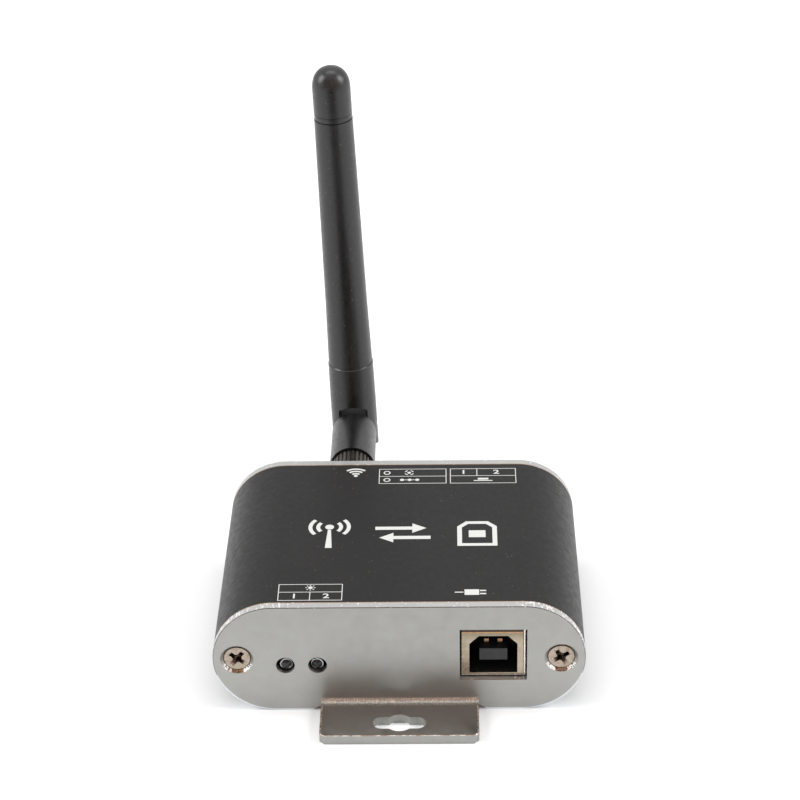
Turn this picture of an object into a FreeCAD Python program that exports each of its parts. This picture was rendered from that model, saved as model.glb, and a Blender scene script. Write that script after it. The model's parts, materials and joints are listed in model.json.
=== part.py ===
import FreeCAD, Part
import os
import re
import Sketcher

# Wireless to wired data converter in a black extruded housing, with a hinged whip antenna.
# Frame: origin at the middle of the housing's underside, +X towards the data socket's side,
# +Y to the rear, where the antenna is, and +Z up. Millimetres.

doc = FreeCAD.newDocument("converter")
sheet = doc.addObject("Spreadsheet::Sheet", "Sizes")

SIZES = [
    # Housing: extruded shell closed by two sheet end plates with a bent ear each
    ("housing_width", 69.0), ("housing_height", 23.0), ("shell_length", 48.4),
    ("shell_wall", 1.5), ("sheet_thickness", 1.8), ("edge_break", 0.12),
    ("rail_thickness", 1.4), ("rail_reach", 3.4), ("port_outer", 2.6), ("port_bore", 1.3),
    ("port_mouth", 1.5), ("screw_margin", 4.5), ("bend_inner", 1.1), ("ear_width", 29.4),
    ("ear_reach", 10.6), ("ear_corner", 1.3), ("slot_length", 9.9), ("slot_width", 3.45),
    ("slot_eye", 5.0), ("slot_blend", 0.7), ("slot_from_plate", 6.6), ("relief_width", 1.9),
    ("relief_height", 0.9),
    # Countersunk cross-head screws
    ("screw_head", 5.2), ("screw_shank", 2.5), ("screw_length", 8.0), ("screw_hole", 3.2),
    ("screw_sink", 0.43), ("sink_rim", 6.2), ("cross_span", 3.6), ("cross_width", 0.85),
    ("cross_depth", 1.1), ("front_left_turn", 52.0), ("front_right_turn", 32.0),
    ("rear_left_turn", 12.0), ("rear_right_turn", 67.0),
    # Circuit board in the shell's rails
    ("board_top", 6.8), ("board_thickness", 1.6), ("board_side_margin", 4.3),
    ("board_end_gap", 0.3), ("leg_hole", 0.4), ("leg_stub", 0.8), ("fit_gap", 0.02),
    # Square data socket
    ("socket_place", 17.46), ("socket_width", 12.04), ("socket_height", 10.9),
    ("socket_depth", 16.0), ("socket_sheet", 0.35), ("socket_recess", 1.1),
    ("cutout_gap", 0.2), ("socket_fold", 0.3), ("mouth_width", 8.9), ("mouth_height", 8.2),
    ("mouth_base", 0.73), ("mouth_chamfer", 1.75), ("cavity_depth", 9.0), ("tongue_width", 5.15),
    ("tongue_height", 2.5), ("tongue_setback", 0.1), ("tongue_root", 0.5), ("contact_pitch", 2.5),
    ("contact_width", 0.9), ("contact_thickness", 0.25), ("contact_setback", 2.4),
    ("contact_leg_width", 0.5), ("contact_leg_gap", 0.45), ("leg_row", 1.8), ("tab_width", 2.0),
    # Indicator lamps behind the front plate
    ("lamp_hole", 3.5), ("lamp_outer_place", 21.07), ("lamp_inner_place", 15.1),
    ("lamp_height", 10.15), ("lamp_body", 3.0), ("lamp_flange", 3.8), ("lamp_length", 5.3),
    ("lamp_flange_length", 1.0), ("lamp_recess", 0.25), ("lamp_leg", 0.5), ("lamp_leg_pitch", 2.54),
    ("lamp_leg_run", 2.0),
    # Push keys behind the rear plate
    ("key_first_place", 12.3), ("key_second_place", 19.05), ("key_height", 10.15),
    ("key_body_width", 5.6), ("key_body_depth", 3.6), ("key_button", 3.4), ("key_hole", 3.9),
    ("key_proud", 0.8), ("key_travel", 0.3), ("key_seat", 0.8), ("key_cover_sheet", 0.25),
    ("key_setback", 0.4), ("key_bore_gap", 0.05), ("key_collar", 0.5), ("key_collar_length", 0.5),
    ("dome_rise", 0.5), ("dome_sheet", 0.12),
    # Coaxial jack on the board, through the rear plate
    ("jack_place", 10.67), ("jack_height", 11.5), ("jack_block", 6.4), ("jack_block_depth", 6.4),
    ("jack_block_gap", 0.1), ("jack_block_floor", 2.1),
    ("jack_thread", 6.2), ("jack_hole", 6.5), ("jack_reach", 11.5), ("jack_socket", 4.6),
    ("jack_socket_depth", 2.4), ("jack_bore", 4.1), ("jack_contact", 1.27), ("jack_contact_bore", 1.0),
    ("jack_leg", 1.0), ("jack_leg_pitch", 5.1), ("washer_thickness", 0.6), ("washer_outer", 9.4),
    ("washer_teeth", 12), ("washer_notch", 0.5), ("nut_flats", 8.0), ("nut_thickness", 2.1),
    # Antenna, hinged whip on a screwed plug
    ("coupling_start", 6.0), ("coupling_length", 10.2), ("coupling_outer", 8.7),
    ("coupling_grooves", 30), ("groove_depth", 0.28), ("coupling_lip", 5.3), ("plug_sleeve", 4.5),
    ("plug_sleeve_bore", 3.9), ("plug_flange", 6.3), ("plug_flange_length", 1.4),
    ("plug_neck", 5.0), ("plug_pin", 0.9), ("plug_insert", 2.0), ("ring_gap", 0.05),
    ("base_start", 16.5), ("base_length", 14.3), ("base_outer", 9.4),
    ("plug_press_depth", 6.0), ("coax_bore", 2.2), ("coax_outer", 1.8), ("hinge_ahead", 4.7),
    ("hinge_offset", 0.4), ("hinge_pin", 2.0), ("hinge_gap", 0.05), ("hinge_side_gap", 0.1),
    ("tongue_thickness", 5.9), ("tongue_end", 4.2), ("fork_outer", 9.7), ("fork_end", 4.5),
    ("fork_crotch", 6.25), ("crotch_arch", 4.6), ("fork_bevel", 0.35), ("fork_top", 15.4),
    ("fork_spigot", 3.0),
    ("spigot_outer", 6.6), ("tube_foot", 9.3), ("tube_lower", 8.79), ("tube_middle", 8.22),
    ("tube_head", 7.8), ("tube_bore", 5.4), ("tube_lower_height", 28.1),
    ("tube_middle_height", 52.8), ("tube_top", 71.0), ("cap_seam", 1.4), ("seam_step", 0.2),
    ("cap_foot", 7.74), ("cap_straight", 6.1), ("cap_width", 7.66), ("cap_reach", 11.15),
    ("cap_plug", 4.0), ("cap_plug_outer", 5.3), ("antenna_lean", 2.03),
    ("sleeve_outer", 4.6), ("sleeve_bore", 4.0), ("sleeve_start", 22.0), ("sleeve_length", 22.5),
    ("wire_outer", 1.0), ("wire_stop", 5.2),
    # Parts soldered on the board
    ("module_width", 16.0), ("module_length", 20.0), ("module_thickness", 0.8),
    ("module_margin", 14.2), ("module_back", 3.0), ("shield_margin", 1.0), ("shield_height", 2.2),
    ("shield_sheet", 0.2), ("bridge_width", 5.3), ("bridge_length", 10.2), ("bridge_height", 1.75),
    ("bridge_place", 4.0), ("bridge_row_reach", 1.2), ("bridge_leg_width", 0.3),
    ("bridge_leg_pitch", 0.65), ("bridge_legs", 14), ("bridge_leg_height", 0.9),
    ("crystal_width", 4.6), ("crystal_length", 11.0), ("crystal_height", 3.5),
    ("crystal_place", 13.0), ("crystal_back", 2.5), ("regulator_width", 6.5),
    ("regulator_length", 3.5), ("regulator_height", 1.6), ("regulator_margin", 7.7),
    ("regulator_back", 4.0), ("can_outer", 5.0), ("can_height", 5.4), ("can_place", 3.5),
    ("can_front", 14.0), ("can_pitch", 7.0), ("can_foot", 0.8),
]

size_names = set()
for row, (name, value) in enumerate(SIZES, start=1):
    sheet.set(f"A{row}", name.replace("_", " "))
    sheet.set(f"B{row}", str(value))
    sheet.setAlias(f"B{row}", name)
    size_names.add(name)
doc.recompute()


def formula(text):
    """Write each size's name as a reference into the sheet."""
    return re.sub(r"[a-z_]+", lambda m: "Sizes." + m.group() if m.group() in size_names else m.group(), text)


def bind(thing, **links):
    for path, text in links.items():
        thing.setExpression(path.replace("__", "."), formula(text))


# Places that several pieces share, all from the sizes above
PLATE_INNER = "shell_length / 2"
PLATE_OUTER = "(shell_length / 2 + sheet_thickness)"
MID_HEIGHT = "housing_height / 2"
END_CENTRE = "(housing_width / 2 - housing_height / 2)"
SCREW_OFFSET = "(housing_width / 2 - screw_margin)"
BOARD_SIDE = "(housing_width / 2 - board_side_margin)"
BEND_TOP = "(bend_inner + sheet_thickness)"
BOARD_BOTTOM = "(board_top - board_thickness)"
SOCKET_FACE = f"({PLATE_OUTER} - socket_recess)"
SOCKET_TOP = "(board_top + socket_height)"
MOUTH_LOW = "(board_top + mouth_base)"
MOUTH_MIDDLE = "(board_top + mouth_base + mouth_height / 2)"
CONTACT_LEGS = f"(-{SOCKET_FACE} + socket_depth + contact_leg_gap)"
LAMP_BACK = f"({PLATE_OUTER} - lamp_recess - lamp_length)"
KEY_FACE = f"({PLATE_INNER} - key_setback)"
JACK_END = f"({PLATE_OUTER} + jack_reach)"
JACK_BLOCK_BACK = f"({PLATE_INNER} - jack_block_gap)"
JACK_BLOCK_FRONT = f"({PLATE_INNER} - jack_block_gap - jack_block_depth)"
JACK_BLOCK_MIDDLE = f"({PLATE_INNER} - jack_block_gap - jack_block_depth / 2)"
COUPLING_START = f"({PLATE_OUTER} + coupling_start)"
COUPLING_END = f"({PLATE_OUTER} + coupling_start + coupling_length)"
BASE_START = f"({PLATE_OUTER} + base_start)"
SHOULDER = f"({PLATE_OUTER} + base_start + base_length)"
PIN_BACK = f"({PLATE_OUTER} + base_start + base_length + hinge_ahead)"
WHIP_BACK = f"({PLATE_OUTER} + base_start + base_length + hinge_ahead - hinge_offset)"

exports = []


def new_body(label):
    body = doc.addObject("PartDesign::Body", label)
    exports.append(body)
    return body


def origin_plane(body, role):
    return next(item for item in body.Origin.OriginFeatures if item.Role == role)


def new_sketch(body, name, role="XZ_Plane", x="0", y="0", z="0", turn=None):
    """A sketch on one of the body's origin planes, moved by x, y, z in the plane's own axes."""
    sketch = body.newObject("Sketcher::SketchObject", name)
    sketch.AttachmentSupport = [(origin_plane(body, role), "")]
    sketch.MapMode = "FlatFace"
    bind(sketch, AttachmentOffset__Base__x=x, AttachmentOffset__Base__y=y, AttachmentOffset__Base__z=z)
    if turn:
        bind(sketch, AttachmentOffset__Rotation__Angle=turn)
    return sketch


def hold(sketch, geometry, vertex, x, y):
    """Dimension one point of the sketch from its origin."""
    for kind, text in (("DistanceX", x), ("DistanceY", y)):
        index = sketch.addConstraint(Sketcher.Constraint(kind, -1, 1, geometry, vertex, 1.0))
        sketch.setExpression(f"Constraints[{index}]", formula(text))


def polygon(sketch, points):
    count = len(points)
    start = [FreeCAD.Vector(1 + k, 1 + k * k, 0) for k in range(count)]
    lines = [sketch.addGeometry(Part.LineSegment(start[k], start[(k + 1) % count])) for k in range(count)]
    for k, line in enumerate(lines):
        sketch.addConstraint(Sketcher.Constraint("Coincident", line, 2, lines[(k + 1) % count], 1))
    for line, (x, y) in zip(lines, points):
        hold(sketch, line, 1, x, y)


def rectangle(sketch, left, low, right, high):
    polygon(sketch, [(left, low), (right, low), (right, high), (left, high)])


def circle(sketch, x, y, radius):
    ring = sketch.addGeometry(Part.Circle(FreeCAD.Vector(0, 0, 0), FreeCAD.Vector(0, 0, 1), 1.0))
    hold(sketch, ring, 3, x, y)
    index = sketch.addConstraint(Sketcher.Constraint("Radius", ring, 1.0))
    sketch.setExpression(f"Constraints[{index}]", formula(radius))


def stadium(sketch, x, y, half_run, radius):
    """Two half circles joined by straight tangents, long way along the sketch's X."""
    up = FreeCAD.Vector(0, 0, 1)
    right = Part.ArcOfCircle(Part.Circle(FreeCAD.Vector(2, 0, 0), up, 1), -1.5707963, 1.5707963)
    left = Part.ArcOfCircle(Part.Circle(FreeCAD.Vector(-2, 0, 0), up, 1), 1.5707963, 4.7123889)
    top = Part.LineSegment(FreeCAD.Vector(2, 1, 0), FreeCAD.Vector(-2, 1, 0))
    bottom = Part.LineSegment(FreeCAD.Vector(-2, -1, 0), FreeCAD.Vector(2, -1, 0))
    first = sketch.addGeometry(right)
    second = sketch.addGeometry(top)
    third = sketch.addGeometry(left)
    fourth = sketch.addGeometry(bottom)
    loop = [first, second, third, fourth]
    for k in range(4):
        sketch.addConstraint(Sketcher.Constraint("Tangent", loop[k], 2, loop[(k + 1) % 4], 1))
    sketch.addConstraint(Sketcher.Constraint("Equal", first, third))
    index = sketch.addConstraint(Sketcher.Constraint("Radius", first, 1.0))
    sketch.setExpression(f"Constraints[{index}]", formula(radius))
    hold(sketch, first, 3, f"{x} + {half_run}", y)
    hold(sketch, third, 3, f"{x} - ({half_run})", y)


def feature(kind, sketch, name, length=None, back=False, middle=False, through=False):
    """Pad or Pocket that runs along the sketch's normal, or with back=True against it."""
    body = sketch.getParentGeoFeatureGroup()
    item = body.newObject("PartDesign::" + kind, name)
    item.Profile = sketch
    item.Reversed = back if kind == "Pad" else not back
    item.Midplane = middle
    if through:
        item.Type = "ThroughAll"
    else:
        bind(item, Length=length)
    doc.recompute()
    return item


def turned(kind, sketch, name, axis="V_Axis"):
    """Revolution or Groove of a sketch about one of its own axes."""
    body = sketch.getParentGeoFeatureGroup()
    item = body.newObject("PartDesign::" + kind, name)
    item.Profile = sketch
    item.ReferenceAxis = (sketch, [axis])
    item.Angle = 360.0
    doc.recompute()
    return item


def repeated(kind, body, name, originals, direction, **links):
    item = body.newObject("PartDesign::" + kind, name)
    item.Originals = originals
    if kind == "Mirrored":
        item.MirrorPlane = direction
    elif kind == "PolarPattern":
        item.Axis = direction
        item.Angle = 360.0
    else:
        item.Direction = direction
    bind(item, **links)
    body.Tip = item
    doc.recompute()
    return item


def edges_where(item, test):
    return [f"Edge{k}" for k, edge in enumerate(item.Shape.Edges, start=1) if test(edge)]


def rounded(body, base, name, test, radius, kind="Fillet"):
    item = body.newObject("PartDesign::" + kind, name)
    item.Base = (base, edges_where(base, test))
    bind(item, **{"Radius" if kind == "Fillet" else "Size": radius})
    doc.recompute()
    return item


def block(name, low, high, label=None):
    """A box between two corners, each corner written as sizes."""
    item = doc.addObject("Part::Box", name)
    bind(item, Length=f"({high[0]}) - ({low[0]})", Width=f"({high[1]}) - ({low[1]})",
         Height=f"({high[2]}) - ({low[2]})")
    bind(item, Placement__Base__x=low[0], Placement__Base__y=low[1], Placement__Base__z=low[2])
    if label:
        item.Label = label
        exports.append(item)
    return item


def joined(kind, name, pieces):
    item = doc.addObject("Part::" + kind, name)
    if kind == "Cut":
        item.Base, item.Tool = pieces
    else:
        item.Shapes = pieces
    exports.append(item)
    return item


def value(name):
    return float(sheet.get(name))


# Extruded shell, black on all faces: a flat oval tube with a pair of rails each side for the
# board and a C-shaped screw port at each end of the oval
def extruded_shell():
    body = new_body("extruded_shell")
    outline = new_sketch(body, "shell_outline")
    stadium(outline, "0", MID_HEIGHT, END_CENTRE, MID_HEIGHT)
    feature("Pad", outline, "shell_bar", "shell_length", middle=True)
    hollow = new_sketch(body, "shell_hollow")
    stadium(hollow, "0", MID_HEIGHT, END_CENTRE, f"{MID_HEIGHT} - shell_wall")
    feature("Pocket", hollow, "shell_tube", "shell_length + 2", middle=True)
    ribs = new_sketch(body, "shell_rails")
    middle_wall = "(housing_height / 2 - shell_wall / 2)"
    for low, high in ((f"{BOARD_BOTTOM} - rail_thickness", BOARD_BOTTOM),
                      ("board_top", "board_top + rail_thickness")):
        root_low = f"{END_CENTRE} + sqrt({middle_wall}^2 - (housing_height / 2 - ({low}))^2)"
        root_high = f"{END_CENTRE} + sqrt({middle_wall}^2 - (housing_height / 2 - ({high}))^2)"
        inner = f"{BOARD_SIDE} + board_end_gap - rail_reach"
        polygon(ribs, [(inner, low), (root_low, low), (root_high, high), (inner, high)])
    rails = feature("Pad", ribs, "shell_rails_right", "shell_length", middle=True)
    # The port is a ring, tied to the wall by a web
    ring = new_sketch(body, "port_ring")
    circle(ring, SCREW_OFFSET, MID_HEIGHT, "port_outer")
    ring_pad = feature("Pad", ring, "port_bar", "shell_length", middle=True)
    web = new_sketch(body, "port_web")
    rectangle(web, f"{SCREW_OFFSET} + port_outer / 2", f"{MID_HEIGHT} - port_outer / 2",
              "housing_width / 2 - shell_wall / 2", f"{MID_HEIGHT} + port_outer / 2")
    web_pad = feature("Pad", web, "port_web_bar", "shell_length", middle=True)
    bore = new_sketch(body, "port_bore")
    circle(bore, SCREW_OFFSET, MID_HEIGHT, "port_bore")
    bore_cut = feature("Pocket", bore, "port_bored", "shell_length + 2", middle=True)
    mouth = new_sketch(body, "port_mouth")
    rectangle(mouth, f"{SCREW_OFFSET} - port_outer - 1", f"{MID_HEIGHT} - port_mouth / 2",
              SCREW_OFFSET, f"{MID_HEIGHT} + port_mouth / 2")
    mouth_cut = feature("Pocket", mouth, "port_opened", "shell_length + 2", middle=True)
    side = (origin_plane(body, "YZ_Plane"), [""])
    repeated("Mirrored", body, "left_side", [rails, ring_pad, web_pad, bore_cut, mouth_cut], side)
    return body


extruded_shell()


# End plate: one oval of sheet with an ear bent out of its foot. Drawn with its outer face on
# y = 0, looking at it from outside, then set against the shell's end
def end_plate(label, cut_openings, placement):
    body = new_body(label)
    outline = new_sketch(body, label + "_outline")
    stadium(outline, "0", MID_HEIGHT, END_CENTRE, MID_HEIGHT)
    blank = feature("Pad", outline, label + "_blank", "sheet_thickness", back=True)
    rounded(body, blank, label + "_edge", lambda e: at(e, y=0.0), "edge_break", kind="Chamfer")
    # The foot rises in a soft curve to the ear's sides, where the sheet was drawn down by the bend
    foot = new_sketch(body, label + "_foot")
    rise = [(f"ear_width / 2 + relief_width * {(1 - k / 6):.4f}", f"relief_height * (1 - cos({30 * k})) / 2")
            for k in range(7)]
    polygon(foot, [(f"-({x})", z) for x, z in rise] + [(x, z) for x, z in reversed(rise)]
            + [("ear_width / 2 + relief_width", "-1"), ("-ear_width / 2 - relief_width", "-1")])
    feature("Pocket", foot, label + "_relief", "sheet_thickness + 1", back=True)
    under = new_sketch(body, label + "_under")
    rectangle(under, "-ear_width / 2", "-1", "ear_width / 2", BEND_TOP)
    feature("Pocket", under, label + "_cleared", "sheet_thickness + 1", back=True)
    # The ear's section: down the plate, round the bend and out along the floor
    section = new_sketch(body, label + "_section", role="YZ_Plane", x="-bend_inner", y=BEND_TOP)
    bent_section(section)
    ear = feature("Pad", section, label + "_ear", "ear_width", middle=True)
    reach = value("ear_reach")
    rounded(body, ear, label + "_corners",
            lambda e: runs_along(e, 2) and at(e, y=-reach), "ear_corner")
    slot = new_sketch(body, label + "_slot", role="XY_Plane")
    stadium(slot, "0", "-slot_from_plate", "slot_length / 2 - slot_width / 2", "slot_width / 2")
    feature("Pocket", slot, label + "_slotted", "2 * sheet_thickness + 1", middle=True)
    eye = new_sketch(body, label + "_eye", role="XY_Plane")
    circle(eye, "0", "-slot_from_plate", "slot_eye / 2")
    eyed = feature("Pocket", eye, label + "_eyed", "2 * sheet_thickness + 1", middle=True)
    meet = (value("slot_eye") ** 2 - value("slot_width") ** 2) ** 0.5 / 2
    rounded(body, eyed, label + "_slot_blends",
            lambda e: runs_along(e, 2) and abs(abs(e.BoundBox.Center.x) - meet) < 0.01, "slot_blend")
    # Countersunk screw holes at the two ends of the oval
    holes = new_sketch(body, label + "_holes")
    circle(holes, SCREW_OFFSET, MID_HEIGHT, "screw_hole / 2")
    circle(holes, f"-{SCREW_OFFSET}", MID_HEIGHT, "screw_hole / 2")
    feature("Pocket", holes, label + "_drilled", "sheet_thickness + 1", back=True)
    for side, place in (("right", SCREW_OFFSET), ("left", f"-{SCREW_OFFSET}")):
        cone = new_sketch(body, f"{label}_{side}_cone", role="XY_Plane", x=place, z=MID_HEIGHT)
        polygon(cone, [("0", "-0.01"), ("sink_rim / 2 + 0.01", "-0.01"), ("0", "sink_rim / 2")])
        turned("Groove", cone, f"{label}_{side}_sunk")
    cut_openings(body, label)
    bind(body, Placement=placement)
    return body


def bent_section(sketch):
    """The ear's sheet seen from the side, drawn about the centre of its bend."""
    up = FreeCAD.Vector(0, 0, 1)
    outer_curve = Part.ArcOfCircle(Part.Circle(FreeCAD.Vector(0, 0, 0), up, 3), -1.5707963, 0)
    inner_curve = Part.ArcOfCircle(Part.Circle(FreeCAD.Vector(0, 0, 0), up, 1), -1.5707963, 0)
    outer = sketch.addGeometry(outer_curve)
    inner = sketch.addGeometry(inner_curve)
    top = sketch.addGeometry(Part.LineSegment(FreeCAD.Vector(3, 0, 0), FreeCAD.Vector(1, 0, 0)))
    upper = sketch.addGeometry(Part.LineSegment(FreeCAD.Vector(0, -1, 0), FreeCAD.Vector(-9, -1, 0)))
    tip = sketch.addGeometry(Part.LineSegment(FreeCAD.Vector(-9, -1, 0), FreeCAD.Vector(-9, -3, 0)))
    lower = sketch.addGeometry(Part.LineSegment(FreeCAD.Vector(-9, -3, 0), FreeCAD.Vector(0, -3, 0)))
    for first, first_end, second, second_end in ((outer, 2, top, 1), (top, 2, inner, 2), (inner, 1, upper, 1),
                                                 (upper, 2, tip, 1), (tip, 2, lower, 1), (lower, 2, outer, 1)):
        sketch.addConstraint(Sketcher.Constraint("Coincident", first, first_end, second, second_end))
    sketch.addConstraint(Sketcher.Constraint("Coincident", outer, 3, -1, 1))
    sketch.addConstraint(Sketcher.Constraint("Coincident", inner, 3, -1, 1))
    sketch.addConstraint(Sketcher.Constraint("PointOnObject", outer, 1, -2))
    sketch.addConstraint(Sketcher.Constraint("PointOnObject", inner, 1, -2))
    sketch.addConstraint(Sketcher.Constraint("Horizontal", top))
    sketch.addConstraint(Sketcher.Constraint("PointOnObject", outer, 2, -1))
    for curve, radius in ((outer, "bend_inner + sheet_thickness"), (inner, "bend_inner")):
        index = sketch.addConstraint(Sketcher.Constraint("Radius", curve, 2.0))
        sketch.setExpression(f"Constraints[{index}]", formula(radius))
    sketch.addConstraint(Sketcher.Constraint("Horizontal", upper))
    sketch.addConstraint(Sketcher.Constraint("Horizontal", lower))
    index = sketch.addConstraint(Sketcher.Constraint("DistanceX", -1, 1, tip, 1, -9.0))
    sketch.setExpression(f"Constraints[{index}]", formula("bend_inner - ear_reach"))
    sketch.addConstraint(Sketcher.Constraint("Vertical", tip))


def runs_along(edge, axis):
    size = (edge.BoundBox.XLength, edge.BoundBox.YLength, edge.BoundBox.ZLength)
    return size[axis] > 0.01 and sum(size) - size[axis] < 0.001


def at(edge, x=None, y=None, z=None):
    box = edge.BoundBox
    spans = ((x, box.XMin, box.XMax), (y, box.YMin, box.YMax), (z, box.ZMin, box.ZMax))
    return all(v is None or (abs(low - v) < 0.01 and abs(high - v) < 0.01) for v, low, high in spans)


def front_openings(body, label):
    lamps = new_sketch(body, label + "_lamp_holes")
    circle(lamps, "-lamp_outer_place", "lamp_height", "lamp_hole / 2")
    circle(lamps, "-lamp_inner_place", "lamp_height", "lamp_hole / 2")
    feature("Pocket", lamps, label + "_lamps_open", "sheet_thickness + 1", back=True)
    cutout = new_sketch(body, label + "_cutout")
    rectangle(cutout, "socket_place - socket_width / 2 - cutout_gap", "board_top - cutout_gap",
              "socket_place + socket_width / 2 + cutout_gap", f"{SOCKET_TOP} + cutout_gap")
    feature("Pocket", cutout, label + "_socket_open", "sheet_thickness + 1", back=True)


# Seen from behind, the rear plate's left is the housing's right, so its places change sign
def rear_openings(body, label):
    keys = new_sketch(body, label + "_key_holes")
    circle(keys, "-key_first_place", "key_height", "key_hole / 2")
    circle(keys, "-key_second_place", "key_height", "key_hole / 2")
    feature("Pocket", keys, label + "_keys_open", "sheet_thickness + 1", back=True)
    jack = new_sketch(body, label + "_jack_hole")
    circle(jack, "jack_place", "jack_height", "jack_hole / 2")
    feature("Pocket", jack, label + "_jack_open", "sheet_thickness + 1", back=True)


def placed(x, y, z, angle="0", axis=("0", "0", "1")):
    """A placement for bind: a move and one turn about an axis through the piece's own origin."""
    turn = f"create(<<rotation>>; create(<<vector>>; {axis[0]}; {axis[1]}; {axis[2]}); {angle})"
    return f"create(<<placement>>; create(<<vector>>; {x}; {y}; {z}); {turn})"


end_plate("front_plate", front_openings, placed("0", f"-{PLATE_OUTER}", "0"))
end_plate("rear_plate", rear_openings, placed("0", PLATE_OUTER, "0", "180"))


# Countersunk cross-head screws that hold the plates, two to a plate
def plate_screws(label, left_turn, right_turn, placement):
    body = new_body(label)
    land = "((sink_rim - screw_head) / 2)"
    half, arm = "cross_span / 2", "cross_width / 2"
    for side, place, turn in (("left", f"-{SCREW_OFFSET}", left_turn), ("right", SCREW_OFFSET, right_turn)):
        profile = new_sketch(body, f"{label}_{side}_profile", role="XY_Plane", x=place, z=MID_HEIGHT)
        polygon(profile, [("0", "screw_sink"), ("screw_head / 2", "screw_sink"), ("screw_head / 2", land),
                          ("screw_shank / 2", f"{land} + screw_head / 2 - screw_shank / 2"),
                          ("screw_shank / 2", "screw_length - screw_shank / 2"), ("0", "screw_length")])
        turned("Revolution", profile, f"{label}_{side}_turned")
        cross = new_sketch(body, f"{label}_{side}_cross", x=place, y=MID_HEIGHT, turn=turn)
        polygon(cross, [(arm, arm), (half, arm), (half, f"-{arm}"), (arm, f"-{arm}"), (arm, f"-{half}"),
                        (f"-{arm}", f"-{half}"), (f"-{arm}", f"-{arm}"), (f"-{half}", f"-{arm}"),
                        (f"-{half}", arm), (f"-{arm}", arm), (f"-{arm}", half), (arm, half)])
        feature("Pocket", cross, f"{label}_{side}_driven", "cross_depth + screw_sink", back=True)
    bind(body, Placement=placement)


plate_screws("front_screws", "front_left_turn", "front_right_turn", placed("0", f"-{PLATE_OUTER}", "0"))
plate_screws("rear_screws", "rear_left_turn", "rear_right_turn", placed("0", PLATE_OUTER, "0", "180"))


# Circuit board, held in the rails, with a hole for each leg that passes through it
def circuit_board():
    body = new_body("circuit_board")
    outline = new_sketch(body, "board_outline", role="XY_Plane", z="board_top")
    end = f"({PLATE_INNER} - board_end_gap)"
    rectangle(outline, f"-{BOARD_SIDE}", f"-{end}", BOARD_SIDE, end)
    feature("Pad", outline, "board_blank", "board_thickness", back=True)
    lamps = [(f"-{lamp} {side} lamp_leg_pitch / 2", f"-{LAMP_BACK} + lamp_leg_run")
             for lamp in ("lamp_outer_place", "lamp_inner_place") for side in "-+"]
    contacts = [(f"socket_place {side} contact_pitch / 2", f"{CONTACT_LEGS} + {row}")
                for row in ("0", "leg_row") for side in "-+"]
    tabs = [(f"socket_place {side} (socket_width / 2 - socket_sheet / 2)",
             f"-{SOCKET_FACE} + socket_depth - tab_width") for side in "-+"]
    keys = [(f"{key} {side} (key_body_width / 2 + key_cover_sheet / 2)", f"{KEY_FACE} - key_body_depth / 2")
            for key in ("key_first_place", "key_second_place") for side in "-+"]
    jack = [(f"-jack_place {side} jack_leg_pitch / 2", f"{JACK_BLOCK_MIDDLE} {row} jack_leg_pitch / 2")
            for row in "-+" for side in "-+"]
    for name, places, half in (("lamp", lamps, "leg_hole"), ("contact", contacts, "leg_hole"),
                               ("tab", tabs, "(tab_width / 2 + 0.15)"), ("key", keys, "leg_hole"),
                               ("jack", jack, "(jack_leg * 0.75)")):
        holes = new_sketch(body, name + "_leg_holes", role="XY_Plane", z="board_top")
        for x, y in places:
            rectangle(holes, f"{x} - {half}", f"{y} - {half}", f"{x} + {half}", f"{y} + {half}")
        feature("Pocket", holes, name + "_holes_cut", "board_thickness + 1", back=True)


circuit_board()


# Data socket's folded shell: a box of thin sheet, open at the back and below the mouth's rim
def socket_shell():
    body = new_body("data_socket_shell")
    outline = new_sketch(body, "socket_outline", z=SOCKET_FACE)
    left = "(socket_place - socket_width / 2)"
    right = "(socket_place + socket_width / 2)"
    rectangle(outline, left, "board_top", right, SOCKET_TOP)
    box = feature("Pad", outline, "socket_box", "socket_depth", back=True)
    face = value("shell_length") / 2 + value("sheet_thickness") - value("socket_recess")
    rounded(body, box, "socket_folds", lambda e: runs_along(e, 1) or at(e, y=-face), "socket_fold")
    inside = new_sketch(body, "socket_inside", z=f"{SOCKET_FACE} - socket_sheet")
    rectangle(inside, f"{left} + socket_sheet", "board_top + socket_sheet", f"{right} - socket_sheet",
              f"{SOCKET_TOP} - socket_sheet")
    feature("Pocket", inside, "socket_folded", "socket_depth", back=True)
    mouth = new_sketch(body, "socket_mouth", z=f"{SOCKET_FACE} + 1")
    mouth_outline(mouth)
    feature("Pocket", mouth, "socket_mouth_open", "socket_sheet + 1.5", back=True)
    tab = new_sketch(body, "socket_tab", role="YZ_Plane", z=f"{right} - socket_sheet")
    back = f"(-{SOCKET_FACE} + socket_depth)"
    rectangle(tab, f"{back} - tab_width * 1.5", f"{BOARD_BOTTOM} - leg_stub", f"{back} - tab_width / 2",
              "board_top + socket_sheet")
    feature("Pad", tab, "socket_tab_right", "socket_sheet")
    other = new_sketch(body, "socket_other_tab", role="YZ_Plane", z=left)
    rectangle(other, f"{back} - tab_width * 1.5", f"{BOARD_BOTTOM} - leg_stub", f"{back} - tab_width / 2",
              "board_top + socket_sheet")
    feature("Pad", other, "socket_tab_left", "socket_sheet")


def mouth_outline(sketch):
    """The plug's outline: square below, with its two upper corners cut off."""
    left = "socket_place - mouth_width / 2"
    right = "socket_place + mouth_width / 2"
    high = f"{MOUTH_LOW} + mouth_height"
    polygon(sketch, [(left, MOUTH_LOW), (right, MOUTH_LOW), (right, f"{high} - mouth_chamfer"),
                     (f"{right} - mouth_chamfer", high), (f"{left} + mouth_chamfer", high),
                     (left, f"{high} - mouth_chamfer")])


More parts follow.
